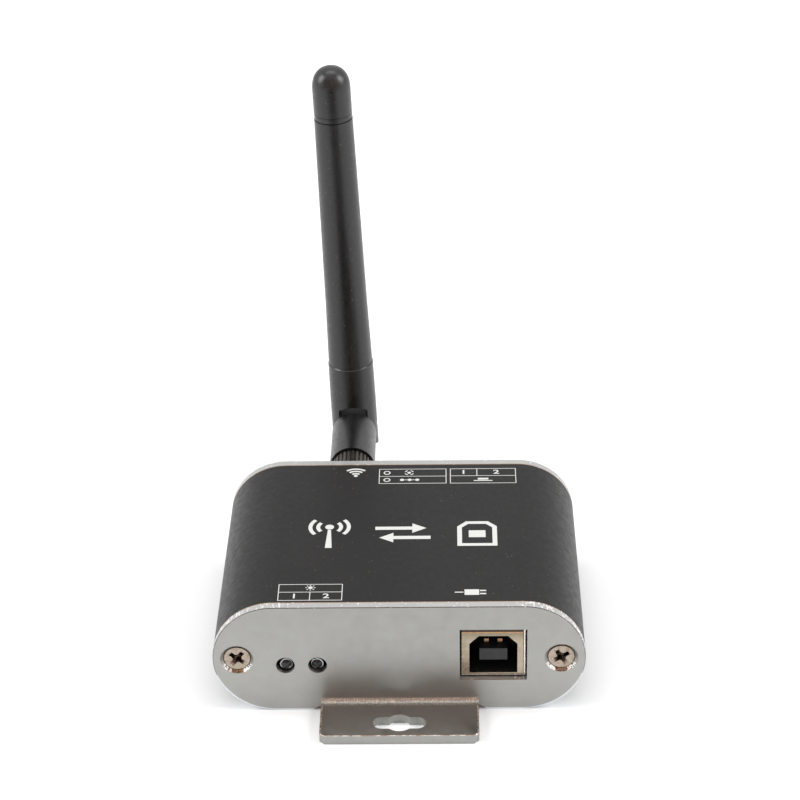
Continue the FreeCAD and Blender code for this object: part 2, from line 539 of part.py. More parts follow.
# Data socket's moulding: a block with the plug's cavity and the tongue that bears the contacts
def socket_moulding():
    body = new_body("data_socket_moulding")
    face = f"({SOCKET_FACE} - socket_sheet - fit_gap)"
    outline = new_sketch(body, "moulding_outline", z=face)
    inset = "(socket_sheet + fit_gap)"
    rectangle(outline, f"socket_place - socket_width / 2 + {inset}", f"board_top + {inset}",
              f"socket_place + socket_width / 2 - {inset}", f"{SOCKET_TOP} - {inset}")
    feature("Pad", outline, "moulding_block", "socket_depth - socket_sheet - fit_gap", back=True)
    cavity = new_sketch(body, "moulding_cavity", z=face)
    mouth_outline(cavity)
    feature("Pocket", cavity, "moulding_hollow", "cavity_depth", back=True)
    tongue = new_sketch(body, "moulding_tongue", z=f"{SOCKET_FACE} - tongue_setback")
    rectangle(tongue, "socket_place - tongue_width / 2", f"{MOUTH_MIDDLE} - tongue_height / 2",
              "socket_place + tongue_width / 2", f"{MOUTH_MIDDLE} + tongue_height / 2")
    feature("Pad", tongue, "moulding_tongue_bar", "cavity_depth + socket_sheet + tongue_root", back=True)
    channels = new_sketch(body, "moulding_channels", z=f"{SOCKET_FACE} - cavity_depth / 2")
    for side in ("-", "+"):
        middle = f"socket_place {side} contact_pitch / 2"
        for low, high in (("tongue_height / 2", "tongue_height / 2 + contact_thickness + fit_gap"),
                          ("-tongue_height / 2 - contact_thickness - fit_gap", "-tongue_height / 2")):
            rectangle(channels, f"{middle} - contact_width / 2 - fit_gap", f"{MOUTH_MIDDLE} + ({low})",
                      f"{middle} + contact_width / 2 + fit_gap", f"{MOUTH_MIDDLE} + ({high})")
    feature("Pocket", channels, "moulding_channelled", "socket_depth", back=True)


# Four contacts: a strip on the tongue, back through the moulding and down through the board
def socket_contacts():
    body = new_body("data_socket_contacts")
    front = f"(-{SOCKET_FACE} + contact_setback)"
    pads = []
    for name, low, row in (("upper", f"({MOUTH_MIDDLE} + tongue_height / 2)", "leg_row"),
                           ("lower", f"({MOUTH_MIDDLE} - tongue_height / 2 - contact_thickness)", "0")):
        high = f"({low} + contact_thickness)"
        leg = f"({CONTACT_LEGS} + {row})"
        strip = new_sketch(body, name + "_contact", role="YZ_Plane", z="socket_place + contact_pitch / 2")
        polygon(strip, [(front, low), (f"{leg} - contact_thickness / 2", low),
                        (f"{leg} - contact_thickness / 2", f"{BOARD_BOTTOM} - leg_stub"),
                        (f"{leg} + contact_thickness / 2", f"{BOARD_BOTTOM} - leg_stub"),
                        (f"{leg} + contact_thickness / 2", high), (front, high)])
        pads.append(feature("Pad", strip, name + "_contact_bar", "contact_width", middle=True))
    narrow = new_sketch(body, "contact_legs", role="XY_Plane", z="board_top + 0.3")
    for side in ("-", "+"):
        middle = "socket_place + contact_pitch / 2"
        outer = f"{middle} {side} contact_width"
        inner = f"{middle} {side} contact_leg_width / 2"
        rectangle(narrow, inner, f"{CONTACT_LEGS} - 1", outer, f"{CONTACT_LEGS} + leg_row + 1")
    pads.append(feature("Pocket", narrow, "contact_legs_narrowed", "board_top", back=True))
    pattern = body.newObject("PartDesign::LinearPattern", "contact_pairs")
    pattern.Originals = pads
    pattern.Direction = (next(o for o in body.Origin.OriginFeatures if o.Role == "X_Axis"), [""])
    pattern.Reversed = True
    bind(pattern, Length="contact_pitch")
    pattern.Occurrences = 2
    body.Tip = pattern
    doc.recompute()


socket_shell()
socket_moulding()
socket_contacts()


# Indicator lamp: a clear domed lens moulded on two bent legs
def indicator_lamp(side, place):
    lens = new_body(side + "_lamp_lens")
    profile = new_sketch(lens, side + "_lens_profile", role="XY_Plane", x=f"-{place}", y=f"-{LAMP_BACK}",
                         z="lamp_height")
    shoulder = "-lamp_length + lamp_body / 2"
    polygon(profile, [("0", "0"), ("lamp_flange / 2", "0"), ("lamp_flange / 2", "-lamp_flange_length"),
                      ("lamp_body / 2", "-lamp_flange_length"), ("lamp_body / 2", shoulder),
                      ("lamp_body / 2 * 0.924", "-lamp_length + lamp_body / 2 * 0.617"),
                      ("lamp_body / 2 * 0.707", "-lamp_length + lamp_body / 2 * 0.293"),
                      ("lamp_body / 2 * 0.383", "-lamp_length + lamp_body / 2 * 0.076"),
                      ("0", "-lamp_length")])
    turned("Revolution", profile, side + "_lens_turned")
    legs = new_body(side + "_lamp_legs")
    bent = new_sketch(legs, side + "_leg_side", role="YZ_Plane", z=f"-{place} + lamp_leg_pitch / 2")
    back = f"(-{LAMP_BACK})"
    down = f"({back} + lamp_leg_run)"
    near, far = f"{down} - lamp_leg / 2", f"{down} + lamp_leg / 2"
    low, high = "lamp_height - lamp_leg / 2", "lamp_height + lamp_leg / 2"
    polygon(bent, [(back, low), (near, low), (near, f"{BOARD_BOTTOM} - leg_stub"),
                   (far, f"{BOARD_BOTTOM} - leg_stub"), (far, high), (back, high)])
    leg = feature("Pad", bent, side + "_leg_bar", "lamp_leg", middle=True)
    pattern = legs.newObject("PartDesign::LinearPattern", side + "_leg_pair")
    pattern.Originals = [leg]
    pattern.Direction = (next(o for o in legs.Origin.OriginFeatures if o.Role == "X_Axis"), [""])
    pattern.Reversed = True
    bind(pattern, Length="lamp_leg_pitch")
    pattern.Occurrences = 2
    legs.Tip = pattern
    doc.recompute()


indicator_lamp("left", "lamp_outer_place")
indicator_lamp("right", "lamp_inner_place")


# Push key: a moulded body with a bore, a folded cover that is soldered to the board, and a
# button that slides in the bore and stands out through the rear plate
def push_key(name, place):
    switch = new_body(name + "_switch_body")
    half = "key_body_width / 2"
    outline = new_sketch(switch, name + "_switch_outline", z=f"-{KEY_FACE} + key_cover_sheet")
    rectangle(outline, f"{place} - {half}", "board_top", f"{place} + {half}", "key_height + key_body_width / 2")
    feature("Pad", outline, name + "_switch_block", "key_body_depth - key_cover_sheet")
    bore = new_sketch(switch, name + "_switch_bore", z=f"-{KEY_FACE} + key_cover_sheet")
    circle(bore, place, "key_height", "key_button / 2 + key_collar + key_bore_gap")
    feature("Pocket", bore, name + "_switch_bored", "key_seat + key_collar_length + key_travel")
    cover = new_body(name + "_switch_cover")
    plan = new_sketch(cover, name + "_cover_plan", role="XY_Plane", z="board_top")
    out = f"({half} + key_cover_sheet)"
    back = f"({KEY_FACE} - key_body_depth)"
    face = f"({KEY_FACE} - key_cover_sheet)"
    polygon(plan, [(f"{place} - {out}", back), (f"{place} - {half}", back), (f"{place} - {half}", face),
                   (f"{place} + {half}", face), (f"{place} + {half}", back), (f"{place} + {out}", back),
                   (f"{place} + {out}", KEY_FACE), (f"{place} - {out}", KEY_FACE)])
    feature("Pad", plan, name + "_cover_folded", "key_height + key_body_width / 2 - board_top")
    window = new_sketch(cover, name + "_cover_window", z=f"-{KEY_FACE} - 1")
    circle(window, place, "key_height", "key_button / 2 + key_bore_gap")
    feature("Pocket", window, name + "_cover_open", "key_cover_sheet + 1.5")
    feet = new_sketch(cover, name + "_cover_feet", role="XY_Plane", z="board_top")
    middle = f"({KEY_FACE} - key_body_depth / 2)"
    front, rear = f"{middle} - leg_hole * 0.6", f"{middle} + leg_hole * 0.6"
    rectangle(feet, f"{place} - {out}", front, f"{place} - {half}", rear)
    rectangle(feet, f"{place} + {half}", front, f"{place} + {out}", rear)
    feature("Pad", feet, name + "_cover_legs", "board_thickness + leg_stub", back=True)
    button = new_body(name + "_button")
    profile = new_sketch(button, name + "_button_profile", role="XY_Plane", x=place, z="key_height")
    inner = f"({KEY_FACE} - key_cover_sheet - key_collar_length - fit_gap)"
    polygon(profile, [("0", inner), ("key_button / 2 + key_collar", inner),
                      ("key_button / 2 + key_collar", f"{inner} + key_collar_length"),
                      ("key_button / 2", f"{inner} + key_collar_length"),
                      ("key_button / 2", f"{PLATE_OUTER} + key_proud - 0.25"),
                      ("key_button / 2 - 0.25", f"{PLATE_OUTER} + key_proud"),
                      ("0", f"{PLATE_OUTER} + key_proud")])
    turned("Revolution", profile, name + "_button_turned")
    dome = new_body(name + "_switch_dome")
    shell = new_sketch(dome, name + "_dome_profile", role="XY_Plane", x=place, z="key_height")
    floor = f"({KEY_FACE} - key_cover_sheet - key_seat - key_collar_length - key_travel)"
    polygon(shell, [("0", f"{floor} + dome_rise + dome_sheet"), ("key_button / 2 + 0.35", floor),
                    ("key_button / 2", floor), ("0", f"{floor} + dome_rise")])
    turned("Revolution", shell, name + "_dome_formed")


push_key("reset", "key_first_place")
push_key("function", "key_second_place")


# Coaxial jack: a block soldered to the board, whose threaded barrel passes the rear plate
def coaxial_jack():
    body = new_body("jack_body")
    side = "(jack_block / 2)"
    outline = new_sketch(body, "jack_block_outline", z=f"-{JACK_BLOCK_BACK}")
    rectangle(outline, f"-jack_place - {side}", "board_top", f"-jack_place + {side}", f"jack_height + {side}")
    feature("Pad", outline, "jack_block_bar", "jack_block_depth")
    barrel = new_sketch(body, "jack_barrel", z=f"-{JACK_END}")
    circle(barrel, "-jack_place", "jack_height", "jack_thread / 2")
    turned_barrel = feature("Pad", barrel, "jack_barrel_bar", "jack_reach + sheet_thickness + 0.5")
    end = value("shell_length") / 2 + value("sheet_thickness") + value("jack_reach")
    rounded(body, turned_barrel, "jack_barrel_edge", lambda e: at(e, y=end), "0.35", kind="Chamfer")
    bore = new_sketch(body, "jack_bore", z=f"-{JACK_END} - 1")
    circle(bore, "-jack_place", "jack_height", "jack_bore / 2")
    feature("Pocket", bore, "jack_bored", "jack_reach + sheet_thickness + jack_block_depth - 1")
    socket = new_sketch(body, "jack_mouth", z=f"-{JACK_END} - 1")
    circle(socket, "-jack_place", "jack_height", "jack_socket / 2")
    feature("Pocket", socket, "jack_mouth_bored", "jack_socket_depth + 1")
    legs = new_sketch(body, "jack_legs", role="XY_Plane", z="board_top")
    for x in ("-", "+"):
        for y in ("-", "+"):
            rectangle(legs, f"-jack_place {x} jack_leg_pitch / 2 - jack_leg / 2",
                      f"{JACK_BLOCK_MIDDLE} {y} jack_leg_pitch / 2 - jack_leg / 2",
                      f"-jack_place {x} jack_leg_pitch / 2 + jack_leg / 2",
                      f"{JACK_BLOCK_MIDDLE} {y} jack_leg_pitch / 2 + jack_leg / 2")
    feature("Pad", legs, "jack_leg_bars", "board_thickness + leg_stub", back=True)


# Turned pieces of the connector are drawn about the Y axis, then moved to the jack's own axis
AT_JACK = placed("-jack_place", "0", "jack_height")


def round_along_barrel(label, profile, placement=AT_JACK):
    """A turned piece about the connector's axis, its profile as (radius, distance back)."""
    body = new_body(label)
    sketch = new_sketch(body, label + "_profile", role="XY_Plane")
    polygon(sketch, profile)
    turned("Revolution", sketch, label + "_turned")
    bind(body, Placement=placement)
    return body


coaxial_jack()
SOCKET_FLOOR = f"({JACK_END} - jack_socket_depth)"
JACK_BACK = f"({JACK_BLOCK_FRONT} + jack_block_floor)"
round_along_barrel("jack_insulator", [
    ("jack_contact / 2 + fit_gap", JACK_BACK), ("jack_bore / 2 - fit_gap", JACK_BACK),
    ("jack_bore / 2 - fit_gap", SOCKET_FLOOR), ("jack_contact / 2 + fit_gap", SOCKET_FLOOR)])
round_along_barrel("jack_contact_pin", [
    ("0", JACK_BACK), ("jack_contact / 2", JACK_BACK), ("jack_contact / 2", SOCKET_FLOOR),
    ("jack_contact_bore / 2", SOCKET_FLOOR), ("jack_contact_bore / 2", f"{SOCKET_FLOOR} - 3"),
    ("0", f"{SOCKET_FLOOR} - 3")])


# Toothed washer and hex nut that clamp the jack to the rear plate
def lock_washer():
    body = round_along_barrel("lock_washer", [
        ("jack_hole / 2", PLATE_OUTER), ("washer_outer / 2", PLATE_OUTER),
        ("washer_outer / 2", f"{PLATE_OUTER} + washer_thickness"),
        ("jack_hole / 2", f"{PLATE_OUTER} + washer_thickness")])
    notch = new_sketch(body, "washer_notch_outline", z=f"-{PLATE_OUTER} - washer_thickness - 1")
    rectangle(notch, "-washer_notch / 2", "jack_hole / 2 - 0.5", "washer_notch / 2", "jack_hole / 2 + 0.7")
    cut = feature("Pocket", notch, "washer_notched", "washer_thickness + 2")
    axis = (next(o for o in body.Origin.OriginFeatures if o.Role == "Y_Axis"), [""])
    repeated("PolarPattern", body, "washer_teeth_ring", [cut], axis, Occurrences="washer_teeth")


def hex_nut():
    body = new_body("jack_nut")
    start = f"({PLATE_OUTER} + washer_thickness)"
    outline = new_sketch(body, "nut_outline", z=f"-{start}")
    corner = "(nut_flats / 2 / cos(30))"
    polygon(outline, [(f"{corner} * cos({60 * k})", f"{corner} * sin({60 * k})") for k in range(6)])
    circle(outline, "0", "0", "jack_thread / 2 + fit_gap")
    feature("Pad", outline, "nut_bar", "nut_thickness", back=True)
    for name, face, inward in (("outer", f"{start} + nut_thickness", "-"), ("inner", start, "+")):
        cone = new_sketch(body, f"nut_{name}_cone", role="XY_Plane")
        polygon(cone, [("nut_flats / 2", f"{face}"), (f"{corner} + 0.2", f"{face}"),
                       (f"{corner} + 0.2", f"{face} {inward} ({corner} + 0.2 - nut_flats / 2) * 0.58")])
        turned("Groove", cone, f"nut_{name}_chamfer")
    bind(body, Placement=AT_JACK)


lock_washer()
hex_nut()

PLUG_FLANGE = f"({JACK_END} + ring_gap)"
LIP_FACE = f"({PLUG_FLANGE} + plug_flange_length + ring_gap)"

# The antenna's own frame: its origin is on the connector's axis, level with the housing's middle,
# and it leans a little to the left, turned about that axis
LEANING = placed("-jack_place", "0", "jack_height", "-antenna_lean", ("0", "1", "0"))


# Knurled coupling nut: screws the plug to the jack and turns freely behind the plug's flange
def coupling_nut():
    body = round_along_barrel("coupling_nut", [
        ("jack_thread / 2 + fit_gap", COUPLING_START), ("coupling_outer / 2 - 0.3", COUPLING_START),
        ("coupling_outer / 2", f"{COUPLING_START} + 0.3"), ("coupling_outer / 2", f"{COUPLING_END} - 0.3"),
        ("coupling_outer / 2 - 0.3", COUPLING_END), ("coupling_lip / 2", COUPLING_END),
        ("coupling_lip / 2", LIP_FACE), ("plug_flange / 2 + ring_gap", LIP_FACE),
        ("plug_flange / 2 + ring_gap", JACK_END), ("jack_thread / 2 + fit_gap", JACK_END)], LEANING)
    groove = new_sketch(body, "knurl_groove", z=f"-{COUPLING_START} + 1")
    polygon(groove, [("-0.3", "coupling_outer / 2 + 0.05"), ("0", "coupling_outer / 2 - groove_depth"),
                     ("0.3", "coupling_outer / 2 + 0.05")])
    cut = feature("Pocket", groove, "knurl_cut", "coupling_length + 2", back=True)
    axis = (next(o for o in body.Origin.OriginFeatures if o.Role == "Y_Axis"), [""])
    repeated("PolarPattern", body, "knurl_ring", [cut], axis, Occurrences="coupling_grooves")


coupling_nut()
round_along_barrel("plug_core", [
    ("plug_sleeve_bore / 2", f"{JACK_END} - plug_insert"), ("plug_sleeve / 2", f"{JACK_END} - plug_insert"),
    ("plug_sleeve / 2", PLUG_FLANGE), ("plug_flange / 2", PLUG_FLANGE),
    ("plug_flange / 2", f"{PLUG_FLANGE} + plug_flange_length"),
    ("plug_neck / 2", f"{PLUG_FLANGE} + plug_flange_length"),
    ("plug_neck / 2", f"{BASE_START} + plug_press_depth"),
    ("coax_bore / 2", f"{BASE_START} + plug_press_depth"), ("coax_bore / 2", f"{PLUG_FLANGE} + 1.5"),
    ("plug_sleeve_bore / 2", f"{PLUG_FLANGE} + 1.5")], LEANING)
round_along_barrel("plug_insulator", [
    ("plug_pin / 2 + fit_gap", PLUG_FLANGE), ("plug_sleeve_bore / 2 - fit_gap", PLUG_FLANGE),
    ("plug_sleeve_bore / 2 - fit_gap", f"{PLUG_FLANGE} + 1.4"),
    ("plug_pin / 2 + fit_gap", f"{PLUG_FLANGE} + 1.4")], LEANING)
round_along_barrel("plug_contact_pin", [
    ("0", f"{SOCKET_FLOOR} - 2.2"), ("plug_pin / 2 - 0.2", f"{SOCKET_FLOOR} - 2.2"),
    ("plug_pin / 2", f"{SOCKET_FLOOR} - 1.9"), ("plug_pin / 2", f"{PLUG_FLANGE} + 2.5"),
    ("0", f"{PLUG_FLANGE} + 2.5")], LEANING)


# Antenna base: a moulded barrel pressed on the plug, with a tongue for the hinge
def antenna_base():
    body = new_body("antenna_base")
    bar = new_sketch(body, "base_outline", z=f"-{BASE_START}")
    circle(bar, "0", "0", "base_outer / 2")
    blank = feature("Pad", bar, "base_bar", "base_length + hinge_ahead + tongue_end", back=True)
    # Both sides are milled away past the shoulder to leave the tongue
    side = new_sketch(body, "tongue_sides", role="XY_Plane")
    for sign in ("-", ""):
        rectangle(side, f"{sign}(tongue_thickness / 2)", SHOULDER, f"{sign}(base_outer)",
                  f"{PIN_BACK} + base_outer")
    feature("Pocket", side, "tongue_milled", "3 * base_outer", middle=True)
    crop = new_sketch(body, "tongue_crop", role="YZ_Plane")
    rectangle(crop, SHOULDER, "tongue_end - hinge_offset", f"{PIN_BACK} + base_outer", "base_outer")
    rectangle(crop, SHOULDER, "-base_outer", f"{PIN_BACK} + base_outer", "-tongue_end - hinge_offset")
    feature("Pocket", crop, "tongue_cropped", "3 * base_outer", middle=True)
    # The tongue's end is rounded about the pin
    nose = new_sketch(body, "tongue_nose", role="YZ_Plane", x=PIN_BACK, y="-hinge_offset", turn="90")
    beyond_round(nose, "tongue_end", "base_outer")
    feature("Pocket", nose, "tongue_rounded", "3 * base_outer", middle=True)
    pin = new_sketch(body, "tongue_pin_hole", role="YZ_Plane")
    circle(pin, PIN_BACK, "-hinge_offset", "hinge_pin / 2 + hinge_gap")
    feature("Pocket", pin, "tongue_drilled", "3 * base_outer", middle=True)
    press = new_sketch(body, "plug_press_bore", z=f"-{BASE_START} + 1")
    circle(press, "0", "0", "plug_neck / 2")
    feature("Pocket", press, "base_bored", "plug_press_depth + 1", back=True)
    lead = new_sketch(body, "coax_bore_outline", z=f"-{BASE_START}")
    circle(lead, "0", "0", "coax_bore / 2")
    feature("Pocket", lead, "base_lead_bored", "base_length - 0.6", back=True)
    bind(body, Placement=LEANING)


def beyond_round(sketch, radius, reach):
    """What lies below a half circle about the sketch's origin, to cut a rounded end."""
    up = FreeCAD.Vector(0, 0, 1)
    half_round = Part.ArcOfCircle(Part.Circle(FreeCAD.Vector(0, 0, 0), up, 4), 3.1415926, 6.2831853)
    arc = sketch.addGeometry(half_round)
    stop = sketch.addGeometry(Part.LineSegment(FreeCAD.Vector(4, 0, 0), FreeCAD.Vector(9, 0, 0)))
    drop = sketch.addGeometry(Part.LineSegment(FreeCAD.Vector(9, 0, 0), FreeCAD.Vector(9, -9, 0)))
    floor = sketch.addGeometry(Part.LineSegment(FreeCAD.Vector(9, -9, 0), FreeCAD.Vector(-9, -9, 0)))
    rise = sketch.addGeometry(Part.LineSegment(FreeCAD.Vector(-9, -9, 0), FreeCAD.Vector(-9, 0, 0)))
    start = sketch.addGeometry(Part.LineSegment(FreeCAD.Vector(-9, 0, 0), FreeCAD.Vector(-4, 0, 0)))
    loop = [arc, stop, drop, floor, rise, start]
    for k, piece in enumerate(loop):
        sketch.addConstraint(Sketcher.Constraint("Coincident", piece, 2, loop[(k + 1) % len(loop)], 1))
    sketch.addConstraint(Sketcher.Constraint("Coincident", arc, 3, -1, 1))
    index = sketch.addConstraint(Sketcher.Constraint("Radius", arc, 4.0))
    sketch.setExpression(f"Constraints[{index}]", formula(radius))
    for piece in (start, stop):
        sketch.addConstraint(Sketcher.Constraint("PointOnObject", piece, 1, -1))
        sketch.addConstraint(Sketcher.Constraint("PointOnObject", piece, 2, -1))
    hold(sketch, floor, 1, reach, f"-({reach})")
    hold(sketch, floor, 2, f"-({reach})", f"-({reach})")
    sketch.addConstraint(Sketcher.Constraint("Vertical", drop))
    sketch.addConstraint(Sketcher.Constraint("Vertical", rise))


antenna_base()


# Hinge pin, pressed into the fork's two prongs and free in the tongue
def hinge_pin():
    body = new_body("hinge_pin")
    sketch = new_sketch(body, "pin_outline", role="YZ_Plane")
    circle(sketch, PIN_BACK, "-hinge_offset", "hinge_pin / 2")
    feature("Pad", sketch, "pin_bar", "fork_outer - 0.9", middle=True)
    bind(body, Placement=LEANING)


hinge_pin()


# Fork: the whip's moulded foot, two prongs about the tongue and a spigot up into the tube
def antenna_fork():
    body = new_body("antenna_fork")
    bar = new_sketch(body, "fork_profile", role="XZ_Plane", z=f"-{WHIP_BACK}")
    low = "-hinge_offset - fork_end"
    polygon(bar, [("0", low), ("fork_outer / 2", low), ("fork_outer / 2", "fork_crotch"),
                  ("tube_foot / 2 + 0.1", "fork_top - fork_bevel"),
                  ("tube_foot / 2 - fork_bevel + 0.1", "fork_top"),
                  ("spigot_outer / 2", "fork_top"), ("spigot_outer / 2", "fork_top + fork_spigot"),
                  ("0", "fork_top + fork_spigot")])
    turned("Revolution", bar, "fork_turned")
    # Slot between the prongs, its roof arched over the base's barrel
    slot = new_sketch(body, "fork_slot")
    width = "(tongue_thickness / 2 + hinge_side_gap)"
    arch_slot(slot, width, f"{low} - 1", "fork_crotch", "crotch_arch")
    feature("Pocket", slot, "fork_slotted", f"6 * ({WHIP_BACK})", middle=True)
    # Prong ends rounded about the pin, cut from below
    ends = new_sketch(body, "fork_ends", role="YZ_Plane", x=PIN_BACK, y="-hinge_offset")
    beyond_round(ends, "fork_end", "fork_outer")
    feature("Pocket", ends, "fork_rounded", "3 * fork_outer", middle=True)
    pin = new_sketch(body, "fork_pin_hole", role="YZ_Plane")
    circle(pin, PIN_BACK, "-hinge_offset", "hinge_pin / 2")
    feature("Pocket", pin, "fork_drilled", "3 * fork_outer", middle=True)
    lead = new_sketch(body, "fork_lead_bore", role="XY_Plane", z="0")
    circle(lead, "0", WHIP_BACK, "coax_bore / 2")
    feature("Pocket", lead, "fork_lead_bored", "fork_top + fork_spigot + 1")
    bind(body, Placement=LEANING)


def arch_slot(sketch, half_width, low, high, radius):
    """A slot open below, with a roof that rises to its middle."""
    up = FreeCAD.Vector(0, 0, 1)
    arc = sketch.addGeometry(Part.ArcOfCircle(Part.Circle(FreeCAD.Vector(0, 0, 0), up, 5), 1.2, 1.94))
    left = sketch.addGeometry(Part.LineSegment(FreeCAD.Vector(-1.8, 4.66, 0), FreeCAD.Vector(-1.8, -4, 0)))
    base = sketch.addGeometry(Part.LineSegment(FreeCAD.Vector(-1.8, -4, 0), FreeCAD.Vector(1.8, -4, 0)))
    right = sketch.addGeometry(Part.LineSegment(FreeCAD.Vector(1.8, -4, 0), FreeCAD.Vector(1.8, 4.66, 0)))
    sketch.addConstraint(Sketcher.Constraint("Coincident", arc, 2, left, 1))
    sketch.addConstraint(Sketcher.Constraint("Coincident", left, 2, base, 1))
    sketch.addConstraint(Sketcher.Constraint("Coincident", base, 2, right, 1))
    sketch.addConstraint(Sketcher.Constraint("Coincident", right, 2, arc, 1))
    hold(sketch, base, 1, f"-{half_width}", low)
    hold(sketch, base, 2, half_width, low)
    hold(sketch, arc, 3, "0", f"{high} - {radius}")
    index = sketch.addConstraint(Sketcher.Constraint("Radius", arc, 5.0))
    sketch.setExpression(f"Constraints[{index}]", formula(radius))
    sketch.addConstraint(Sketcher.Constraint("Vertical", left))
    sketch.addConstraint(Sketcher.Constraint("Vertical", right))


antenna_fork()


def round_up_whip(label, profile):
    """A turned piece of the whip, its profile as (radius, height above the connector's axis)."""
    body = new_body(label)
    sketch = new_sketch(body, label + "_profile", z=f"-{WHIP_BACK}")
    polygon(sketch, profile)
    turned("Revolution", sketch, label + "_turned")
    bind(body, Placement=LEANING)


# Tube: the whip's moulded cover, flared at its foot and tapering to the cap
round_up_whip("antenna_tube", [
    ("spigot_outer / 2 + fit_gap", "fork_top"), ("tube_foot / 2", "fork_top"),
    ("tube_lower / 2", "tube_lower_height"), ("tube_middle / 2", "tube_middle_height"),
    ("tube_head / 2", "tube_top"), ("tube_bore / 2", "tube_top"),
    ("tube_bore / 2", "fork_top + fork_spigot + 0.5"),
    ("spigot_outer / 2 + fit_gap", "fork_top + fork_spigot + 0.5")])

# Cap: a domed plug with a narrow neck band that shows as the seam
CAP_FOOT = "(tube_top + cap_seam)"
cap_dome = [(f"cap_width / 2 * cos({angle})",
             f"tube_top + cap_straight + (cap_reach - cap_straight) * sin({angle})")
            for angle in (0, 15, 30, 45, 60, 75)]
round_up_whip("antenna_cap", [
    ("0", "tube_top - cap_plug"), ("cap_plug_outer / 2", "tube_top - cap_plug"),
    ("cap_plug_outer / 2", "tube_top"), ("tube_head / 2 - seam_step", "tube_top"),
    ("tube_head / 2 - seam_step", CAP_FOOT), ("cap_foot / 2 - seam_step / 4", CAP_FOOT),
    ("cap_foot / 2", f"{CAP_FOOT} + seam_step")] + cap_dome + [("0", "tube_top + cap_reach")])

# Inside the whip: a brass skirt and the bare wire above it, fed by the thin coaxial lead
round_up_whip("radiator_skirt", [
    ("coax_outer / 2 + fit_gap", "sleeve_start + sleeve_length - 0.4"),
    ("sleeve_bore / 2", "sleeve_start + sleeve_length - 0.4"), ("sleeve_bore / 2", "sleeve_start"),
    ("sleeve_outer / 2", "sleeve_start"), ("sleeve_outer / 2", "sleeve_start + sleeve_length"),
    ("coax_outer / 2 + fit_gap", "sleeve_start + sleeve_length")])
LEAD_TOP = "(sleeve_start + sleeve_length + 1)"
round_up_whip("radiator_wire", [
    ("0", LEAD_TOP), ("wire_outer / 2", LEAD_TOP), ("wire_outer / 2", "tube_top - wire_stop"),
    ("0", "tube_top - wire_stop")])
round_up_whip("whip_lead", [
    ("0", "fork_crotch + 0.6"), ("coax_outer / 2", "fork_crotch + 0.6"), ("coax_outer / 2", LEAD_TOP),
    ("0", LEAD_TOP)])
round_along_barrel("base_lead", [
    ("0", f"{PLUG_FLANGE} + 2.5"), ("coax_outer / 2", f"{PLUG_FLANGE} + 2.5"),
    ("coax_outer / 2", f"{SHOULDER} - 0.7"), ("0", f"{SHOULDER} - 0.7")], LEANING)


# Radio module: a small board soldered flat on the main board, under a folded tin shield
def radio_module():
    left = f"(module_margin - {BOARD_SIDE} - module_width / 2)"
    right = f"(module_margin - {BOARD_SIDE} + module_width / 2)"
    front = "(-module_back - module_length / 2)"
    back = "(-module_back + module_length / 2)"
    block("radio_board_bar", (left, front, "board_top"), (right, back, "board_top + module_thickness"),
          "radio_board")
    top = "(board_top + module_thickness)"
    outer = block("shield_outer", (f"{left} + shield_margin", f"{front} + shield_margin", top),
                  (f"{right} - shield_margin", f"{back} - 4 * shield_margin", f"{top} + shield_height"))
    inset = "(shield_margin + shield_sheet)"
    inner = block("shield_inner", (f"{left} + {inset}", f"{front} + {inset}", f"{top} - 1"),
                  (f"{right} - {inset}", f"{back} - {inset} - 3 * shield_margin",
                   f"{top} + shield_height - shield_sheet"))
    shield = joined("Cut", "shield_folded", (outer, inner))
    shield.Label = "radio_shield"


